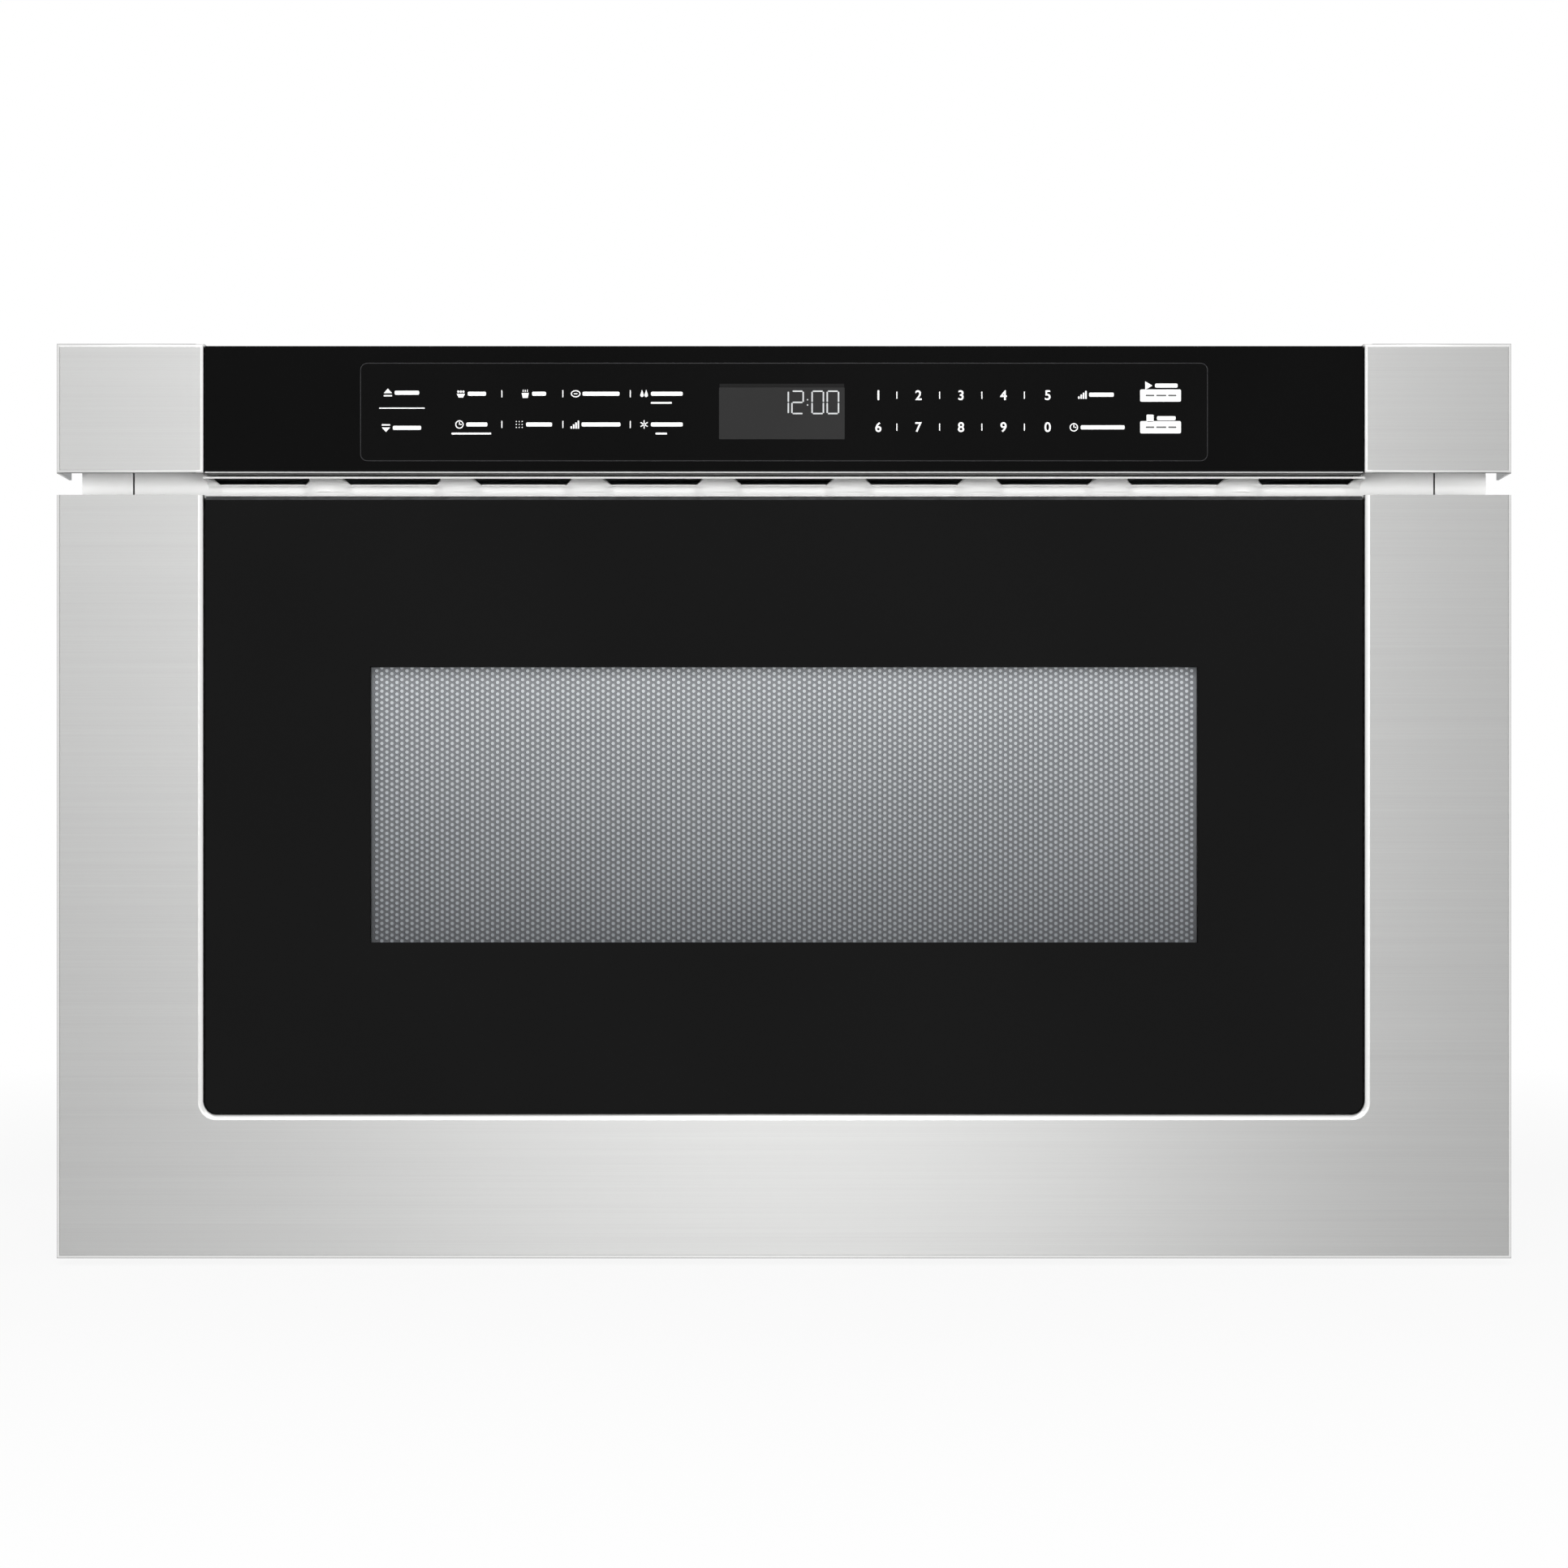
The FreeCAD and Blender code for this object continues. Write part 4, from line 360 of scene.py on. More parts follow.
# The pale film behind the holes carries painted light standing for the lit inside: brightest at the window's
# top and middle.
FILM = in_window("screen_film", (138, 142, 146), (214, 218, 221), 0.5)
# The holes' walls are painted dark as painted shade, and show as a dark crescent at each hole's lower left.
HOLE_SHADE = in_window("hole_wall_painted_shade", (42, 44, 46), (70, 72, 75), 0.5)
PRINT = finish_of("print", tone(216), 0.45, 0.04, 500)
PRINT_DARK = finish_of("print_dark", tone(70), 0.5, 0.1, 500)
LIT = finish_of("lit_segment", tone(168, 170, 171), 0.4, 0.05, 400)
LENS = dark_glass("display_lens", 37, 0.1)
LENS_BAND = dark_glass("display_band", 22, 0.1)
EMBOSS = finish_of("emboss", tone(38, 38, 40), 0.25, 0.1, 50, Specular_IOR_Level=0.2)
GROOVE = finish_of("groove", tone(6), 0.5, 0.1, 50, Specular_IOR_Level=0.05)

for subpart in frame["record"]["subparts"]:
    node = NODES[subpart["node"]]
    node.data.materials.clear()
    node.data.materials.append(SLOTS[subpart["material_slot"]])

# Three nodes differ a little from the rest of their slot.
NODES["fascia_strip"].data.materials[0] = edged("strip_edge", tone(150), 0.4, STRIP_LINE)
# The carrier is painted near black as painted shade, standing for the deep shade seen through the vents.
NODES["panel_carrier"].data.materials[0] = finish_of("carrier_painted_shade", tone(24), 0.6, 0.15, grain=0.00002)
NODES["fascia_glass"].data.materials[0] = dark_glass("panel_glass", 4, 0.055)


# ---- mesh helpers ----

def added(name, data):
    """A new object in the scene."""
    made = bpy.data.objects.new(name, data)
    bpy.context.scene.collection.objects.link(made)
    return made


class Mesh:
    """Points in millimetres, faces and the faces' material numbers, gathered before a piece is made."""

    def __init__(self):
        self.verts = []
        self.faces = []
        self.numbers = []

    def add(self, verts, faces, number=0):
        """Points, and faces that count from the first of them, in the material of that number."""
        start = len(self.verts)
        self.verts += verts
        self.faces += [tuple(start + index for index in face) for face in faces]
        self.numbers += [number] * len(faces)

    def prism(self, outline, front, back, number=0):
        """An outline in X and Z, filled between two places on Y."""
        count = len(outline)
        verts = [(x, front, z) for x, z in outline] + [(x, back, z) for x, z in outline]
        faces = [tuple(range(count)), tuple(range(2 * count - 1, count - 1, -1))]
        faces += [(i, (i + 1) % count, count + (i + 1) % count, count + i) for i in range(count)]
        self.add(verts, faces, number)

    def ring(self, outer, inner, front, back, number=0):
        """The band between two outlines with as many points each."""
        count = len(outer)
        verts = [(x, y, z) for line, y in ((outer, front), (inner, front), (outer, back), (inner, back))
                 for x, z in line]
        faces = []
        for i in range(count):
            j = (i + 1) % count
            faces += [(i, j, count + j, count + i),
                      (2 * count + i, 3 * count + i, 3 * count + j, 2 * count + j),
                      (i, 2 * count + i, 2 * count + j, j),
                      (count + i, count + j, 3 * count + j, 3 * count + i)]
        self.add(verts, faces, number)

    def weld(self):
        """Joins points that lie together, and drops faces without area and points that no face uses."""
        self.numbers = self.numbers or [0] * len(self.faces)
        spots = {}
        new = [spots.setdefault(tuple(round(value, 5) for value in vert), index)
               for index, vert in enumerate(self.verts)]
        kept = []
        for face, number in zip(self.faces, self.numbers):
            face = [new[index] for index in face]
            face = [index for place, index in enumerate(face) if index != face[place - 1]]
            if len(face) > 2:
                kept.append((face, number))
        used = sorted({index for face, number in kept for index in face})
        place = {old: index for index, old in enumerate(used)}
        self.verts = [self.verts[old] for old in used]
        self.faces = [tuple(place[index] for index in face) for face, number in kept]
        self.numbers = [number for face, number in kept]

    def make(self, name, materials, body, smooth=False, closed=True, stands_for=()):
        """The piece that these form. Materials may be one, or a list that the numbers count in."""
        mesh = bpy.data.meshes.new(name)
        mesh.from_pydata([tuple(value * MM for value in vert) for vert in self.verts], [], self.faces)
        for material in materials if isinstance(materials, list) else [materials]:
            mesh.materials.append(material)
        mesh.polygons.foreach_set("material_index", self.numbers)
        mesh.validate()
        if closed:
            shell = bmesh.new()
            shell.from_mesh(mesh)
            bmesh.ops.recalc_face_normals(shell, faces=shell.faces)
            shell.to_mesh(mesh)
            shell.free()
        mesh.polygons.foreach_set("use_smooth", [smooth] * len(mesh.polygons))
        made = added(name, mesh)
        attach(made, body)
        if stands_for:
            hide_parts(*stands_for)
        return made


def rounded(x, z, radius, steps=6, corners=(1, 1, 1, 1)):
    """A rectangle's outline with round corners, from the lower left one anticlockwise."""
    spots = ((x[0], z[0], 180), (x[1], z[0], 270), (x[1], z[1], 0), (x[0], z[1], 90))
    outline = []
    for (px, pz, turn), wanted in zip(spots, corners):
        reach = radius if wanted else 0
        cx = px + reach * (1 if px == x[0] else -1)
        cz = pz + reach * (1 if pz == z[0] else -1)
        for step in range(steps + 1 if wanted else 1):
            angle = math.radians(turn + 90 * step / steps)
            outline.append((cx + reach * math.cos(angle), cz + reach * math.sin(angle)))
    return outline


def rectangle(x, z):
    """A rectangle's outline with sharp corners, in the order of rounded()."""
    return [(x[0], z[0]), (x[1], z[0]), (x[1], z[1]), (x[0], z[1])]


def circle(x, z, rx, rz=None, steps=24):
    """The outline of a circle or ellipse."""
    rz = rx if rz is None else rz
    return [(x + rx * math.cos(2 * math.pi * i / steps), z + rz * math.sin(2 * math.pi * i / steps))
            for i in range(steps)]


def smooth_step(value):
    """A value from 0 to 1 that starts and ends gently."""
    value = min(1, max(0, value))
    return value * value * (3 - 2 * value)


def node_box(name):
    """A node's box in millimetres, as spans along X, Y and Z."""
    low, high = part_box(name)
    return [(low[axis] / MM, high[axis] / MM) for axis in range(3)]


# ---- the door's glass and screen ----

def round_edge(made, name, width, angle):
    """A small round on the edges of an object that turn by more than an angle in degrees."""
    edge = made.modifiers.new(name, "BEVEL")
    edge.width = width
    edge.segments = 2
    edge.limit_method = "ANGLE"
    edge.angle_limit = math.radians(angle)


def door_glass():
    """The dark glass, clear where the window is, with a frosted bevel along its top edge."""
    (x0, x1), (front, back), (z0, z1) = node_box("door_glass")
    bevel = 1.6
    arc = 9  # points in each of its two round corners, at the bottom
    outline = rounded((x0, x1), (z0, z1), 4.6, arc - 1, (1, 1, 0, 0))
    count = len(outline)
    top = count - 2  # the top edge starts here
    loops = [[(x, front, min(z, z1 - bevel)) for x, z in outline],
             [(x, front + bevel if z == z1 else front, z) for x, z in outline],
             [(x, back, z) for x, z in outline]]
    made = Mesh()
    for near, far in zip(loops, loops[1:]):
        for i in range(count):
            j = (i + 1) % count
            made.add([near[i], near[j], far[j], far[i]], [(0, 1, 2, 3)], 1 if i == top else 0)
    for loop, y in ((loops[0], front), (loops[2], back)):
        pane = [(x, y, z) for x, z in rectangle(WINDOW_X, WINDOW_Z)]
        low_left, low_right, high_right, high_left = pane
        for band in (loop[:arc + 1] + [low_right, low_left], loop[arc:top + 1] + [high_right, low_right],
                     loop[top:] + [high_left, high_right], [loop[-1], loop[0], low_left, high_left]):
            made.add(band, [tuple(range(len(band)))])
        made.add(pane, [(0, 1, 2, 3)], 2)
    made.weld()
    glass = made.make("door_glass_panel", [SLOTS["smoked_glass"], FROSTED, WINDOW], "drawer",
                      stands_for=("door_glass",))
    round_edge(glass, "edge", 0.0003, 50)


door_glass()


HOLE_PITCH = 2.43
HOLE_COLUMN = HOLE_PITCH * math.sqrt(3) / 2  # from one column of holes to the next
CELL_CORNER = HOLE_PITCH / math.sqrt(3)  # from a hole's middle to a corner of its cell
CELL_TURNS = [math.radians(60 * i) for i in range(6)]
HOLE_SIDES = 12
HOLE_ENDS = ((0.88, 0.0), (0.74, 0.07))  # radius, and how far aside, at the sheet's front and back
HOLED_X = 171  # the holes end here
HOLED_Z = (134, 250)
CELLS_X = 175  # the sheet with its cells reaches at most this far
CELLS_Z = (132.6, 251.4)
TRAY_OPENING = rectangle((-174, 174), (133, 251))
TRAY_WALL = 0.8
SCREEN_SHEET = 0.4


class Screen:
    """The perforated sheet, cell by cell, with its front and back at two places on Y."""

    def __init__(self, front, back):
        self.mesh = bmesh.new()
        self.shared = {}
        self.front = front
        self.back = back

    def spot(self, x, y, z):
        """The point there, which neighbouring cells share."""
        key = (round(x, 3), round(y, 3), round(z, 3))
        if key not in self.shared:
            self.shared[key] = self.mesh.verts.new((x * MM, y * MM, z * MM))
        return self.shared[key]

    def cell(self, x, z):
        """A hexagon of sheet, with a hole through it inside the window."""
        corners = [(x + CELL_CORNER * math.cos(a), z + CELL_CORNER * math.sin(a)) for a in CELL_TURNS]
        ends = []
        for y, (radius, aside) in zip((self.front, self.back), HOLE_ENDS):
            rim = [self.spot(px, y, pz) for px, pz in corners]
            if abs(x) > HOLED_X or not HOLED_Z[0] < z < HOLED_Z[1]:
                self.mesh.faces.new(rim)
                continue
            hole = [self.spot(x + aside + radius * math.cos(math.tau * i / HOLE_SIDES), y,
                              z + aside + radius * math.sin(math.tau * i / HOLE_SIDES))
                    for i in range(HOLE_SIDES)]
            ends.append(hole)
            for i in range(6):
                j = (i + 1) % 6
                self.mesh.faces.new((rim[i], rim[j], hole[(2 * j) % HOLE_SIDES], hole[2 * i + 1],
                                     hole[2 * i]))
        if ends:
            self.wall(*ends)

    def wall(self, front, back):
        """The inside of a hole, in the second material, which is painted dark as shade."""
        for i in range(HOLE_SIDES):
            j = (i + 1) % HOLE_SIDES
            self.mesh.faces.new((front[i], front[j], back[j], back[i])).material_index = 1

    def close(self):
        """A wall round the outside of the sheet, from its front to its back."""
        y = self.front * MM
        for edge in [e for e in self.mesh.edges if len(e.link_faces) == 1
                     and all(abs(vert.co.y - y) < 1e-7 for vert in e.verts)]:
            behind = [self.shared[(round(vert.co.x / MM, 3), round(self.back, 3), round(vert.co.z / MM, 3))]
                      for vert in edge.verts]
            self.mesh.faces.new((edge.verts[0], edge.verts[1], behind[1], behind[0]))

    def add_to(self, made):
        """The sheet's points and faces, added to a gathered mesh."""
        start = len(made.verts)
        self.mesh.verts.index_update()
        made.verts += [tuple(vert.co / MM) for vert in self.mesh.verts]
        made.faces += [tuple(start + vert.index for vert in face.verts) for face in self.mesh.faces]
        made.numbers += [face.material_index for face in self.mesh.faces]
        self.mesh.free()


def window_screen():
    """The tray behind the glass, with round holes in a close triangular pattern, and the film behind it."""
    (x0, x1), (front, back), (z0, z1) = node_box("door_screen")
    plate = front + SCREEN_SHEET
    made = Mesh()
    outer = rectangle((x0, x1), (z0, z1))
    inner = rectangle((x0 + TRAY_WALL, x1 - TRAY_WALL), (z0 + TRAY_WALL, z1 - TRAY_WALL))
    made.ring(outer, TRAY_OPENING, front + 0.01, front + TRAY_WALL)
    made.ring(outer, inner, front + TRAY_WALL, back)
    screen = Screen(front, plate)
    columns = int(CELLS_X / HOLE_COLUMN)
    for column in range(-columns, columns + 1):
        low = CELLS_Z[0] + (column % 2) * HOLE_PITCH / 2
        for row in range(int((CELLS_Z[1] - low) / HOLE_PITCH) + 1):
            screen.cell(column * HOLE_COLUMN, low + row * HOLE_PITCH)
    screen.close()
    screen.add_to(made)
    made.make("window_screen", [SLOTS["screen_metal"], HOLE_SHADE], "drawer",
              stands_for=("door_screen",))
    film = Mesh()
    film.prism(rounded((-173.5, 173.5), (133.5, 250.5), 1), plate + 0.02, plate + 0.12)
    film.make("window_film", FILM, "drawer")


window_screen()


# ---- the front plate of the case, with its vents ----

BENT_TOP = 329.9  # of the bent part; behind the caps the sheet runs higher
BENT_HALF = 244.0  # half the length of the bent part
SHEET = 0.8
BEND = 4.0  # radius of the bend, inside the sheet's front
NOSE, PLATE_BACK = node_box("front_plate")[1]
FACE = PLATE_BACK - 1  # the upright part's front
SHOULDER = BENT_TOP - SHEET - BEND  # the bend ends here
FLAT = FACE - BEND - NOSE  # from the front edge to the bend
ARC = BEND * math.pi / 2
VENT_FIRST = 0.5  # sheet left in front of the vents
VENT_DROP = 2.5  # from the top of the sheet down to the lips of the vents
VENT_LIP = FLAT + BEND * math.acos(1 - (VENT_DROP - SHEET) / BEND)
VENT_TOP, VENT_BOTTOM = 21.4, 17.8  # half a vent's breadth at its front edge and at its lip
VENT_STEPS = 8  # points from a vent's middle to its side
VENT_PITCH = 55.2
VENTS = [(i - 4) * VENT_PITCH for i in range(9)]
MOUTH_TOP, MOUTH_BOTTOM = 281, 100  # the drawer's opening in the upright part
SLOT_TOP, SLOT_BOTTOM = 195, 185  # the small openings beside it
EAR_LINES = (-265.5, -258.5)  # borders of those openings


def plate_section(s):
    """Place and outward direction of the plate's front surface, s along it from the front edge."""
    if s < FLAT:
        return NOSE + s, SHOULDER + BEND, 0.0, -1.0
    if s < FLAT + ARC:
        angle = (s - FLAT) / BEND
        return (FACE - BEND + BEND * math.sin(angle), SHOULDER + BEND * math.cos(angle),
                -math.sin(angle), -math.cos(angle))
    return FACE, SHOULDER - (s - FLAT - ARC), -1.0, 0.0


def vent_half(s):
    """Half of a vent's breadth: it narrows from the front edge down to the lip."""
    if s < FLAT:
        share = 0.35 * max(0.0, (s - VENT_FIRST) / (FLAT - VENT_FIRST))
    else:
        share = 0.35 + 0.65 * (1 - math.cos((s - FLAT) / BEND)) * BEND / (VENT_DROP - SHEET)
    return VENT_TOP + (VENT_BOTTOM - VENT_TOP) * min(1.0, share)


def pressed(x, s):
    """How far the sheet is pressed in below a vent's lip."""
    depth = 2.8
    fall = 1.6  # the dish gets deeper over this length
    level = 1.8  # it starts to get shallower here
    rise = 6.4
    past = 3.0  # its reach past the vent's side
    soft = 5.0  # breadth of its side
    below = s - VENT_LIP
    if below <= 0:
        return 0.0
    near = min(abs(x - centre) for centre in VENTS)
    side = smooth_step((VENT_BOTTOM + past - near) / soft)
    return side * depth * smooth_step(below / fall) * (1 - smooth_step((below - level) / rise))


def plate_rows():
    """Rows of points along the plate, those open in a vent, the first upright row and the mouth's first."""
    rows = [0.0, VENT_FIRST / 2, VENT_FIRST]
    rows += [VENT_FIRST + (FLAT - VENT_FIRST) * i / 3 for i in range(1, 4)]
    rows += [FLAT + (VENT_LIP - FLAT) * i / 8 for i in range(1, 9)]
    opening = range(2, len(rows) - 1)
    rows += [VENT_LIP + d for d in (0.3, 0.6, 0.9, 1.2, 1.6, 2.1, 2.7)]
    bent = len(rows)
    rows += [FLAT + ARC + d for d in (0, 0.8, 1.8, 3, 4.4, 6)]
    mouth = len(rows)
    plate_low = node_box("front_plate")[2][0]
    rows += [FLAT + ARC + SHOULDER - z for z in (MOUTH_TOP, SLOT_TOP, SLOT_BOTTOM, MOUTH_BOTTOM, plate_low)]
    return rows, opening, bent, mouth


def plate_lines():
    """The plate's lines of points, each as its x for a place s, and the lines inside vents."""
    edges = (node_box("front_plate")[0][0], *EAR_LINES, -BENT_HALF)
    lines = [lambda s, x=x: x for x in edges]
    inside = set()
    for index, centre in enumerate(VENTS):
        if index:
            for t in (0.08, 0.2, 0.35, 0.5, 0.65, 0.8, 0.92):
                lines.append(lambda s, a=VENTS[index - 1], b=centre, t=t:
                             (a + vent_half(s)) * (1 - t) + (b - vent_half(s)) * t)
        for step in range(-VENT_STEPS, VENT_STEPS + 1):
            t = math.sin(math.pi / 2 * step / VENT_STEPS)
            if step > -VENT_STEPS:
                inside.add(len(lines) - 1)
            lines.append(lambda s, c=centre, t=t: c + vent_half(s) * t)
    lines += [lambda s, x=x: -x for x in edges[::-1]]
    return lines, inside


def front_plate():
    """The front of the case. Its top is bent forward, and each vent is a dished opening in the bend."""
    rows, opening, bent, mouth = plate_rows()
    lines, inside = plate_lines()
    columns = len(lines)
    ears = len(EAR_LINES) + 1  # columns of faces behind each end cap
    outer = set(range(ears)) | set(range(columns - 1 - ears, columns - 1))
    first_middle = ears + 1 + VENT_STEPS  # the line through the middle of the first vent
    mouth_columns = range(first_middle, columns - 1 - first_middle)
    made = Mesh()
    for s in rows:
        y, z, ny, nz = plate_section(s)
        for line in lines:
            x = line(s)
            depth = pressed(x, s)
            made.verts.append((x, y - ny * depth, z - nz * depth))
    for r in range(len(rows) - 1):
        for c in range(columns - 1):
            in_vent = r in opening and c in inside
            beside = r < bent and c in outer
            in_mouth = r in range(mouth, mouth + 3) and c in mouth_columns
            in_slot = r == mouth + 1 and c in (1, columns - 3)
            if not (in_vent or beside or in_mouth or in_slot):
                at = r * columns + c
                made.faces.append((at, at + columns, at + columns + 1, at + 1))
    ear_top = node_box("front_plate")[2][1]
    for c in outer:
        low = bent * columns + c
        start = len(made.verts)
        made.verts += [(lines[c](0), FACE, ear_top), (lines[c + 1](0), FACE, ear_top)]
        made.faces.append((start, low, low + 1, start + 1))
    made.weld()
    plate = made.make("vent_plate", SLOTS["white_sheet"], "case", smooth=True, closed=False,
                      stands_for=("front_plate",))
    thick = plate.modifiers.new("sheet", "SOLIDIFY")
    thick.thickness = SHEET * MM
    thick.offset = -1
    round_edge(plate, "rim", 0.00016, 60)


front_plate()


# ---- printed marks on the control panel ----

OVERLAY = node_box("touch_overlay")
FACE_Y = OVERLAY[1][0]
INK = (FACE_Y - 0.02, FACE_Y)
OVER_INK = (FACE_Y - 0.04, FACE_Y - 0.02)
MIDDLE = sum(OVERLAY[2]) / 2  # height of the film's middle
UPPER, LOWER = MIDDLE + 7.6, MIDDLE - 5.2  # the two rows of keys
ICON = 3.5  # height of a pictogram
ICON_GAP = 1.1
NAME_TALL = 1.7  # of the bar in a name's place
UNDERLINE_DROP = 3.8
UNDERLINE_TALL = 0.75
STROKE = 0.42  # breadth of a pictogram's thin lines


def bar(marks, x, z, wide, tall, span=INK):
    """A bar round a middle, with slightly rounded ends."""
    outline = rounded((x - wide / 2, x + wide / 2), (z - tall / 2, z + tall / 2), min(wide, tall) * 0.3, 3)
    marks.prism(outline, *span)


def dot(marks, x, z, radius):
    """A round dot."""
    marks.prism(circle(x, z, radius, steps=16), *INK)


# Pictograms: each is drawn round a middle, h above and below it.

def icon_up(marks, x, z, h):
    marks.prism([(x - h, z - h * 0.1), (x + h, z - h * 0.1), (x, z + h)], *INK)
    bar(marks, x, z - h * 0.7, 2 * h, h * 0.35)


def icon_down(marks, x, z, h):
    marks.prism([(x - h, z + h * 0.1), (x, z - h), (x + h, z + h * 0.1)], *INK)
    bar(marks, x, z + h * 0.7, 2 * h, h * 0.35)


def icon_play(marks, x, z, h):
    marks.prism([(x - h * 0.7, z - h), (x + h, z), (x - h * 0.7, z + h)], *INK)


def icon_stop(marks, x, z, h):
    marks.prism(rounded((x - h * 0.85, x + h * 0.85), (z - h * 0.85, z + h * 0.85), h * 0.2, 3), *INK)


def icon_clock(marks, x, z, h):
    marks.ring(circle(x, z, h), circle(x, z, h - STROKE), *INK)
    bar(marks, x, z + h * 0.26, STROKE, h * 0.75)
    bar(marks, x + h * 0.28, z, h * 0.6, STROKE)


def icon_cold(marks, x, z, h):
    for turn in range(6):
        a = math.radians(60 * turn + 30)
        corners = ((h * 0.15, -STROKE / 2), (h, -STROKE / 2), (h, STROKE / 2), (h * 0.15, STROKE / 2))
        marks.prism([(x + u * math.cos(a) - v * math.sin(a), z + u * math.sin(a) + v * math.cos(a))
                     for u, v in corners], *INK)


def icon_cup(marks, x, z, h):
    marks.prism([(x - h * 0.6, z - h), (x + h * 0.6, z - h), (x + h * 0.85, z + h * 0.2),
                 (x - h * 0.85, z + h * 0.2)], *INK)
    for shift in (-0.5, 0.0, 0.5):
        bar(marks, x + shift * h, z + h * 0.7, STROKE * 0.8, h * 0.55)


def icon_plate(marks, x, z, h):
    marks.ring(circle(x, z, h * 1.15, h * 0.85), circle(x, z, h * 1.15 - STROKE, h * 0.85 - STROKE), *INK)
    bar(marks, x, z, h * 0.9, STROKE)


def icon_levels(marks, x, z, h):
    for i in range(4):
        tall = 2 * h * (0.3 + 0.22 * i)
        bar(marks, x - h + (i + 0.35) * h * 0.56, z - h + tall / 2, h * 0.38, tall)


def icon_bowl(marks, x, z, h):
    marks.prism([(x - h * 0.55, z - h * 0.9), (x + h * 0.55, z - h * 0.9), (x + h, z), (x - h, z)], *INK)
    for shift in (-0.6, 0.0, 0.6):
        dot(marks, x + shift * h, z + h * 0.5, h * 0.27)


def icon_drops(marks, x, z, h):
    for shift in (-0.5, 0.5):
        low = z - h * 0.35
        marks.prism([(x + shift * h + h * 0.42 * math.cos(math.radians(a)),
                      low + h * 0.42 * math.sin(math.radians(a))) for a in range(150, 391, 20)]
                    + [(x + shift * h, z + h)], *INK)


def icon_grid(marks, x, z, h):
    for i in (-1, 0, 1):
        for j in (-1, 0, 1):
            dot(marks, x + i * h * 0.7, z + j * h * 0.7, STROKE * 0.55)


def key_mark(marks, icon, x, z, wide, below=0.0):
    """A pictogram and a bar, together as broad as the key's name, with a thin bar below if there is one."""
    icon(marks, x - wide / 2 + ICON / 2, z, ICON / 2)
    rest = wide - ICON - ICON_GAP
    bar(marks, x + wide / 2 - rest / 2, z, rest, NAME_TALL)
    if below:
        bar(marks, x, z - UNDERLINE_DROP, below, UNDERLINE_TALL)


KEY_COLUMNS = (-130.2, -104.3, -78.5, -51.1)
KEYS = (  # pictogram, its place, row, breadth, breadth of the line below it
    (icon_up, -159.3, UPPER + 0.4, 14.8, 0),
    (icon_down, -159.3, LOWER - 1.4, 16.4, 0),
    (icon_bowl, KEY_COLUMNS[0], UPPER, 12.2, 0),
    (icon_cup, KEY_COLUMNS[1], UPPER, 10.4, 0),
    (icon_plate, KEY_COLUMNS[2], UPPER, 20.0, 0),
    (icon_drops, KEY_COLUMNS[3], UPPER, 17.8, 8.7),
    (icon_clock, KEY_COLUMNS[0], LOWER, 13.4, 16.5),
    (icon_grid, KEY_COLUMNS[1], LOWER, 15.4, 0),
    (icon_levels, KEY_COLUMNS[2], LOWER, 20.8, 0),
    (icon_cold, KEY_COLUMNS[3], LOWER, 17.8, 4.8),
    (icon_levels, 129.9, UPPER - 0.4, 14.9, 0),
    (icon_clock, 130.4, LOWER - 1.2, 22.9, 0),
    (icon_play, 156.9, MIDDLE + 11.0, 14.0, 0),
    (icon_stop, 156.9, MIDDLE - 2.6, 12.4, 0),
)
KEY_TICKS = (-117.5, -92.1, -64.0)
DIGIT_COLUMNS = (39.3, 56.0, 73.7, 91.4, 109.8)
DIGIT_TICKS = (47.0, 64.8, 82.4, 100.1)
DIGIT_UPPER, DIGIT_LOWER = MIDDLE + 7.0, MIDDLE - 6.3
DIGIT_HEIGHT = 4.1
TICK = (0.42, 3.0)  # breadth and height of the ticks between names
FIELD_X = (148.3, 165.3)  # the two white fields
FIELD_LOWS = (MIDDLE + 4.3, MIDDLE - 8.9)
FIELD_HEIGHT = 5.1
FIELD_BARS = ((152.4, 3.6), (157.1, 4.2), (161.7, 3.4))  # middle and breadth


def panel_marks():
    """Pictograms, bars and ticks in the places of the keys' names, and the two white fields."""
    marks = Mesh()
    for key in KEYS:
        key_mark(marks, *key)
    bar(marks, -159.1, MIDDLE + 1.6, 19, 0.45)
    for x in KEY_TICKS:
        for z in (UPPER, LOWER):
            bar(marks, x, z, *TICK)
    for x in DIGIT_TICKS:
        for z in (DIGIT_UPPER, DIGIT_LOWER):
            bar(marks, x, z, *TICK)
    fields = Mesh()
    for low in FIELD_LOWS:
        marks.prism(rounded(FIELD_X, (low, low + FIELD_HEIGHT), 0.6, 4), *INK)
        for x, wide in FIELD_BARS:
            bar(fields, x, low + FIELD_HEIGHT / 2, wide, 0.7, OVER_INK)
    marks.make("panel_marks", PRINT, "case")
    fields.make("field_bars", PRINT_DARK, "case")


panel_marks()


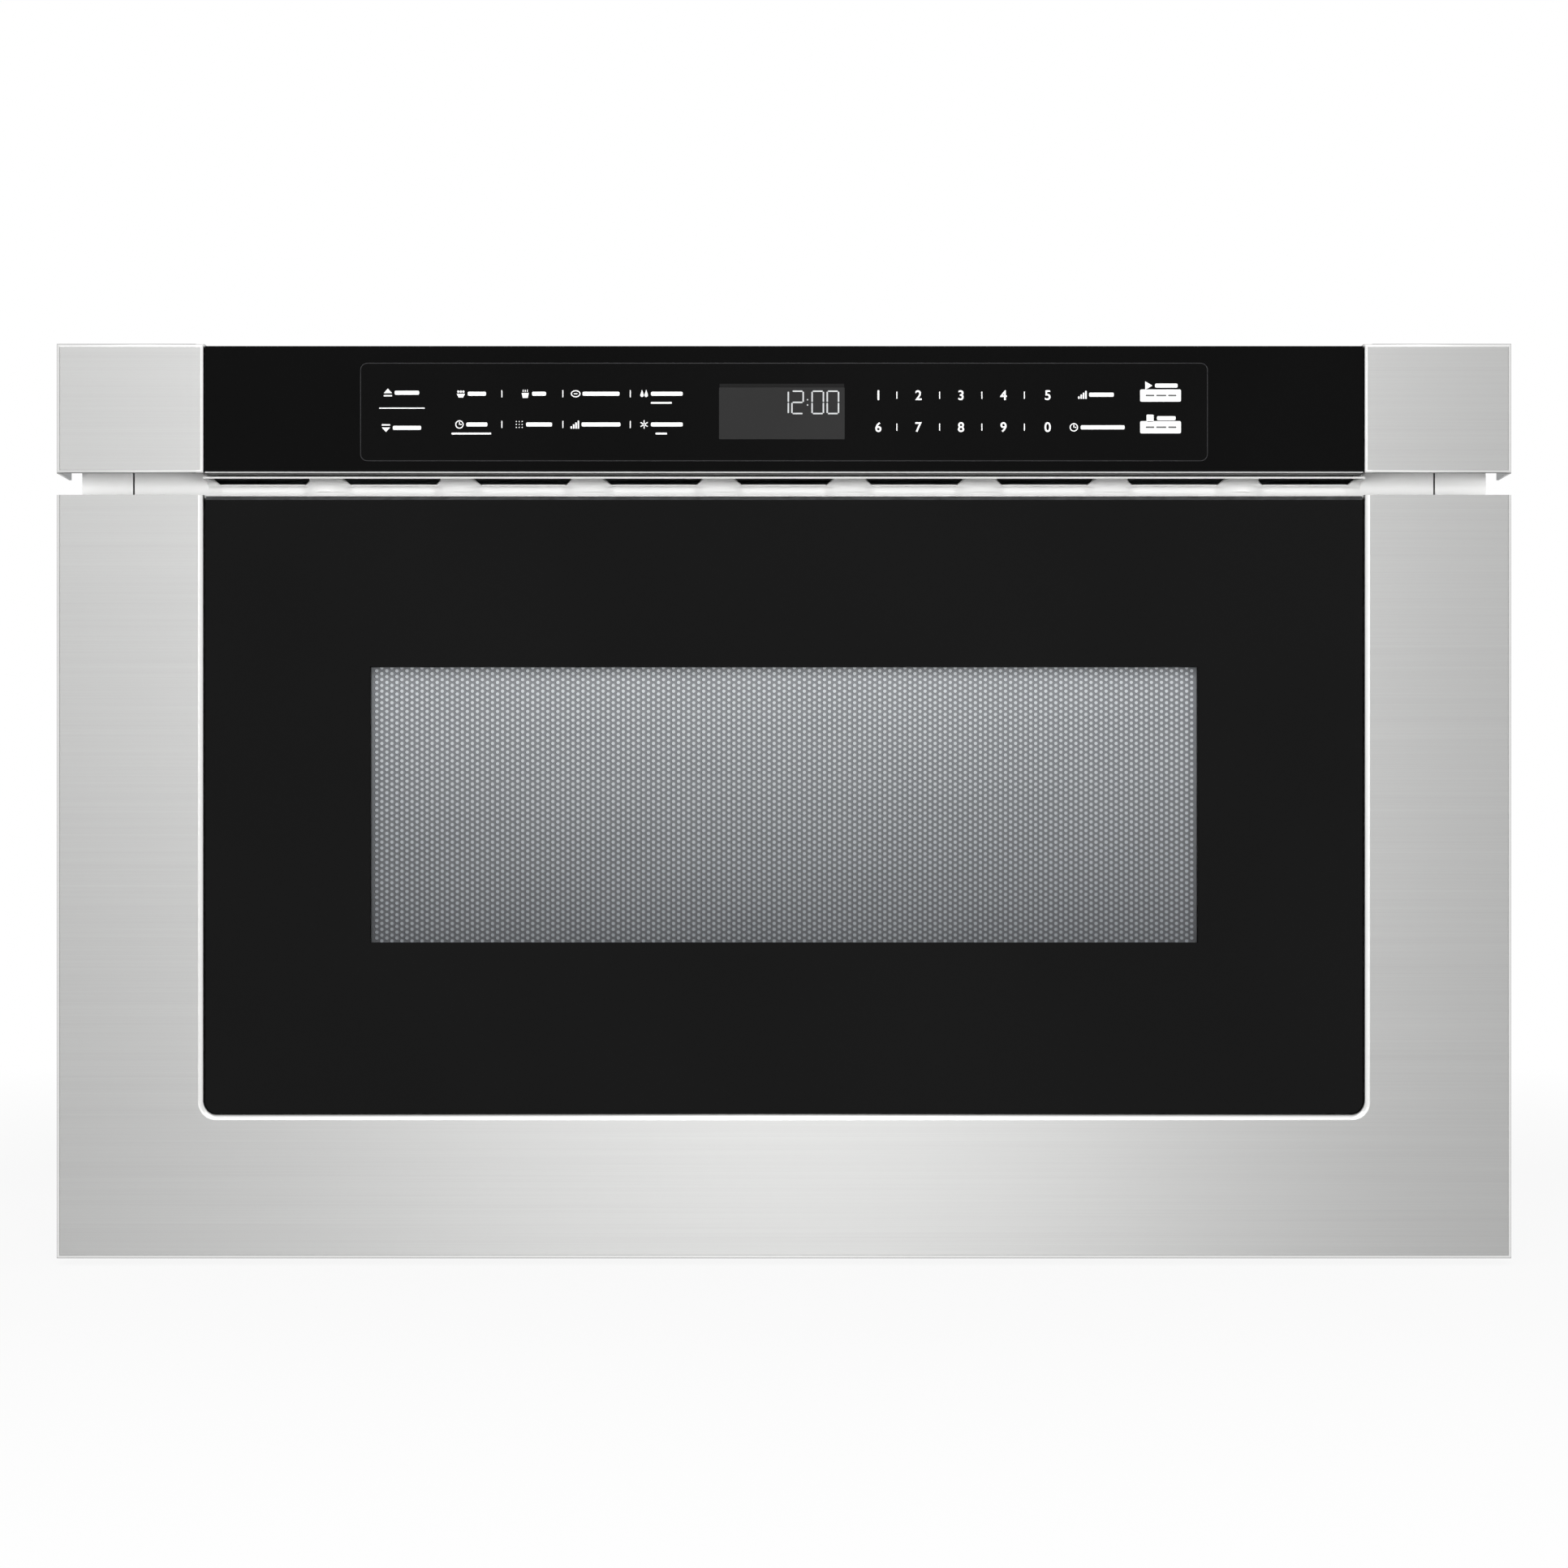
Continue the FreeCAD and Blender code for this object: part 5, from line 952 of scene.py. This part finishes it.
def keypad_digits():
    """The ten digits of the keypad, from the font that Blender carries, made bolder."""
    made = Mesh()
    for text, x, z in zip("1234567890", DIGIT_COLUMNS * 2, [DIGIT_UPPER] * 5 + [DIGIT_LOWER] * 5):
        curve = bpy.data.curves.new("digit", "FONT")
        curve.body = text
        curve.offset = 0.016
        curve.extrude = 0.5
        holder = added("digit", curve)
        mesh = bpy.data.meshes.new_from_object(holder)
        spots = [vert.co for vert in mesh.vertices]
        low = Vector([min(spot[axis] for spot in spots) for axis in range(3)])
        high = Vector([max(spot[axis] for spot in spots) for axis in range(3)])
        scale = DIGIT_HEIGHT / (high.y - low.y)
        middle = (low + high) / 2
        made.add([(x + (spot.x - middle.x) * scale, INK[0] if spot.z > 0 else INK[1],
                   z + (spot.y - middle.y) * scale) for spot in spots],
                 [tuple(face.vertices) for face in mesh.polygons])
        bpy.data.objects.remove(holder)
        bpy.data.meshes.remove(mesh)
        bpy.data.curves.remove(curve)
    made.make("keypad_digits", PRINT, "case")


keypad_digits()


CLOCK = (("1", -2.9), ("2", 3.3), ("0", 11.7), ("0", 18.0))  # each digit and its left edge
CLOCK_COLON = 9.8
CLOCK_HEIGHT = 9.3
CLOCK_WIDTH = 4.7
CLOCK_STROKE = 0.6
CLOCK_DROP = 1.6  # below the lens's upper edge
LIT_BARS = {"0": "abcdef", "1": "bc", "2": "abged"}
COLON_DOTS = (-1.1, 1.1)  # above and below the clock's middle
COLON_RADIUS = 0.3


def segment_places(left, low):
    """Middle, breadth and height of a digit's seven bars, lettered a to g in the usual way."""
    right = left + CLOCK_WIDTH
    centre = (left + right) / 2
    high = low + CLOCK_HEIGHT
    middle = (high + low) / 2
    across = (CLOCK_WIDTH - CLOCK_STROKE, CLOCK_STROKE)
    upright = (CLOCK_STROKE, CLOCK_HEIGHT / 2 - CLOCK_STROKE * 0.7)
    upper = (high + middle) / 2
    lower = (low + middle) / 2
    return {"a": (centre, high, *across), "d": (centre, low, *across), "g": (centre, middle, *across),
            "b": (right, upper, *upright), "c": (right, lower, *upright),
            "f": (left, upper, *upright), "e": (left, lower, *upright)}


def display():
    """The lens over the clock with a darker band at its top, and thin lit segments."""
    (x0, x1), _, (z0, z1) = node_box("display_module")
    x0, z0, z1 = x0 + 0.2, z0 + 0.4, z1 - 1.5
    lens = Mesh()
    lens.prism(rounded((x0, x1), (z0, z1), 0.4, 4), *INK)
    lens.prism(rounded((x0 + 0.2, x1 - 0.2), (z1 + 0.1, z1 + 1.5), 0.2, 3), *INK, 1)
    lens.make("display_lens", [LENS, LENS_BAND], "case")
    low = z1 - CLOCK_DROP - CLOCK_HEIGHT
    segments = Mesh()
    for digit, left in CLOCK:
        places = segment_places(left, low)
        for letter in LIT_BARS[digit]:
            bar(segments, *places[letter], span=OVER_INK)
    for shift in COLON_DOTS:
        middle = low + CLOCK_HEIGHT / 2 + shift
        segments.prism(circle(CLOCK_COLON, middle, COLON_RADIUS, steps=12), *OVER_INK)
    segments.make("clock_segments", LIT, "case")


display()


def overlay_rim():
    """The embossed line round the film over the keys: a pale edge outside a dark groove."""
    (x0, x1), _, (z0, z1) = OVERLAY
    made = Mesh()
    for inset, wide, number in ((0.05, 0.2, 0), (0.3, 0.25, 1)):
        outer = rounded((x0 + inset, x1 - inset), (z0 + inset, z1 - inset), 3 - inset, 8)
        inset += wide
        inner = rounded((x0 + inset, x1 - inset), (z0 + inset, z1 - inset), 3 - inset, 8)
        made.ring(outer, inner, *INK, number)
    made.make("overlay_rim", [EMBOSS, GROOVE], "case")


overlay_rim()


# ---- fasteners and feet ----

SCREW_RADIUS = 4.0
FEET_X = (-238, 238)
FEET_Y = (-215, 248)
FOOT_PROFILE = [(12.8, 7.0), (12.8, 5.2), (12.2, 4.9), (12.2, 4.3), (12.5, 4.0), (12.4, 3.0), (11.8, 2.7),
                (11.8, 2.1), (12.0, 1.8), (11.8, 0.8), (11.0, 0.15), (9.5, 0.0)]


def lathe(profile, steps):
    """Points and faces of a turned form about Y. Profile is (radius, y) from the rim to the middle."""
    verts = []
    faces = []
    for radius, y in profile:
        for i in range(steps):
            a = math.tau * i / steps
            verts.append((radius * math.cos(a), y, radius * math.sin(a)))
    for r in range(len(profile) - 1):
        for i in range(steps):
            j = (i + 1) % steps
            faces.append((r * steps + i, r * steps + j, (r + 1) * steps + j, (r + 1) * steps + i))
    faces.append(tuple(range(steps)))
    faces.append(tuple((len(profile) - 1) * steps + i for i in reversed(range(steps))))
    return verts, faces


def screw_head(radius, height):
    """A pan head with a cross recess, standing on the plane y = 0 and rising towards -Y."""
    arm = radius * 0.55
    slot = radius * 0.13
    star = [(arm, -slot), (arm, slot), (slot, slot), (slot, arm), (-slot, arm), (-slot, slot), (-arm, slot),
            (-arm, -slot), (-slot, -slot), (-slot, -arm), (slot, -arm), (slot, -slot)]
    angles = [math.atan2(z, x) for x, z in star]
    rings = [(radius, 0.0), (radius, -height * 0.45), (radius * 0.93, -height * 0.75),
             (radius * 0.72, -height)]
    count = len(star)
    verts = [(r * math.cos(a), y, r * math.sin(a)) for r, y in rings for a in angles]
    verts += [(x, -height, z) for x, z in star] + [(x * 0.75, -height * 0.35, z * 0.75) for x, z in star]
    faces = [tuple(range(count)), tuple(range(6 * count - 1, 5 * count - 1, -1))]
    for r in range(5):
        for i in range(count):
            j = (i + 1) % count
            faces.append((r * count + i, r * count + j, (r + 1) * count + j, (r + 1) * count + i))
    return verts, faces


def seat_of(axis, low, high):
    """The turn of a head that lies between these corners, and the middle of the face it stands on."""
    middle = (low + high) / 2
    if axis == 0:
        side = 1 if middle.x > 0 else -1
        seat = Vector((low.x if side > 0 else high.x, middle.y, middle.z))
        return Matrix.Rotation(math.radians(90 * side), 3, "Z"), seat
    return Matrix.Rotation(math.radians(180), 3, "Z"), Vector((middle.x, low.y, middle.z))


def islands(mesh):
    """The points of each separate part of a mesh, in millimetres."""
    seen = set()
    for start in mesh.verts:
        if start in seen:
            continue
        stack = [start]
        island = []
        seen.add(start)
        while stack:
            vert = stack.pop()
            island.append(vert.co / MM)
            for edge in vert.link_edges:
                other = edge.other_vert(vert)
                if other not in seen:
                    seen.add(other)
                    stack.append(other)
        yield island


def screws(name, node, body):
    """A head on each of the node's plain ones, found from the parts of its mesh."""
    made = Mesh()
    mesh = bmesh.new()
    mesh.from_mesh(NODES[node].data)
    bmesh.ops.remove_doubles(mesh, verts=mesh.verts, dist=1e-6)
    for island in islands(mesh):
        low = Vector([min(p[axis] for p in island) for axis in range(3)])
        high = Vector([max(p[axis] for p in island) for axis in range(3)])
        size = high - low
        axis = min(range(3), key=lambda a: size[a])
        turn, seat = seat_of(axis, low, high)
        verts, faces = screw_head(SCREW_RADIUS, size[axis])
        matrix = Matrix.Translation(seat) @ turn.to_4x4()
        made.add([tuple(matrix @ Vector(v)) for v in verts], faces)
    mesh.free()
    made.make(name, SLOTS["screw"], body, stands_for=(node,))


screws("case_screw_heads", "case_screws", "case")
screws("door_screw_heads", "door_screws", "drawer")


def feet():
    """Rubber feet with a rounded tread and two grooves."""
    made = Mesh()
    verts, faces = lathe(FOOT_PROFILE, 32)
    for x in FEET_X:
        for y in FEET_Y:
            made.add([(x + a, y + c, b) for a, b, c in verts], faces)
    made.make("foot_treads", SLOTS["rubber"], "case", stands_for=("rubber_feet",))


feet()


# ---- floor, light and camera ----

FLOOR_REACH = 6.0
FLOOR_FADE = (0.6, 2.0)  # distances between which the floor turns as white as the rest
FLOOR_WHITE = (0.9, 1.0)  # its share of white there
FILL = 0.2  # light on the object from all around


def unlit(nodes):
    """1 for rays that see the surroundings: from the camera, and through gloss and glass."""
    path = nodes.node("ShaderNodeLightPath")
    share = path.outputs["Is Camera Ray"]
    for name in ("Is Glossy Ray", "Is Transmission Ray"):
        larger = nodes.node("ShaderNodeMath", operation="MAXIMUM")
        nodes.join(share, larger.inputs[0])
        nodes.join(path.outputs[name], larger.inputs[1])
        share = larger.outputs[0]
    return share


def floor_material():
    """Matt grey that takes the object's shadow, and fades into the white surroundings further out."""
    material = bpy.data.materials.new("floor")
    material.use_nodes = True
    nodes = Nodes(material.node_tree)
    nodes.tree.nodes.clear()
    matt = nodes.node("ShaderNodeBsdfDiffuse")
    matt.inputs["Color"].default_value = (0.8, 0.8, 0.8, 1)
    white = nodes.node("ShaderNodeEmission")
    away = nodes.node("ShaderNodeVectorMath", operation="LENGTH")
    nodes.join(nodes.node("ShaderNodeTexCoord").outputs["Object"], away.inputs[0])
    fade = nodes.scaled(away.outputs["Value"], *FLOOR_WHITE, *FLOOR_FADE)
    nodes.output("ShaderNodeOutputMaterial", nodes.times(unlit(nodes), fade), matt, white)
    return material


def floor():
    """A pale plane under the object, which isn't part of it."""
    mesh = bpy.data.meshes.new("floor")
    corners = rectangle((-FLOOR_REACH, FLOOR_REACH), (-FLOOR_REACH, FLOOR_REACH))
    mesh.from_pydata([(x, y, 0) for x, y in corners], [], [(0, 1, 2, 3)])
    made = added("floor", mesh)
    mesh.materials.append(floor_material())


floor()


def surroundings():
    """White where they are seen, and a faint even fill on the object."""
    world = bpy.data.worlds.new("studio")
    bpy.context.scene.world = world
    world.use_nodes = True
    nodes = Nodes(world.node_tree)
    nodes.tree.nodes.clear()
    lights = []
    for strength in (FILL, 1.0):
        light = nodes.node("ShaderNodeBackground")
        light.inputs["Color"].default_value = (1, 1, 1, 1)
        light.inputs["Strength"].default_value = strength
        lights.append(light)
    nodes.output("ShaderNodeOutputWorld", unlit(nodes), *lights)


surroundings()


def lamp(name, place, target, wide, tall, level, mirrored=False):
    """A soft lamp of that radiance. Only a mirrored one shows in gloss, and none shows to the camera."""
    data = bpy.data.lights.new(name, "AREA")
    data.shape = "RECTANGLE"
    data.size = wide
    data.size_y = tall
    data.energy = level * math.pi * wide * tall
    made = added(name, data)
    made.location = place
    made.rotation_euler = (Vector(target) - Vector(place)).to_track_quat("-Z", "Y").to_euler()
    made.visible_camera = False
    made.visible_glossy = mirrored


# Each lamp's place, what it points at, breadth, height and radiance, and whether gloss mirrors it.
lamp("front_strip", (0, -3.0, 0.31), (0, -0.25, 0.325), 3.0, 0.56, 13)
lamp("overhead", (0, -0.5, 2.4), (0, 0, 0.2), 2.4, 1.8, 0.9)
lamp("back", (0, 3.0, 1.2), (0, 0.2, 0.2), 2.4, 1.2, 1.6)
lamp("centre", (0, -3.0, 1.3), (0, -0.3, 0.1), 0.7, 1.0, 14.6, True)
lamp("left_front", (-0.8, -3.0, 1.3), (0, -0.3, 0.1), 0.6, 1.0, 3.9, True)
lamp("right_front", (0.8, -3.0, 1.3), (0, -0.3, 0.1), 0.6, 1.0, 1.6, True)

camera_data = bpy.data.cameras.new("camera")
camera_data.sensor_width = 36
camera_data.lens = 121.3
camera_data.shift_y = 0.0545
camera_data.dof.use_dof = False
camera = added("camera", camera_data)
camera.location = (0.0, -2.496, 0.165)
camera.rotation_euler = (math.radians(90), 0, 0)
bpy.context.scene.camera = camera
bpy.context.scene.view_settings.view_transform = "Standard"
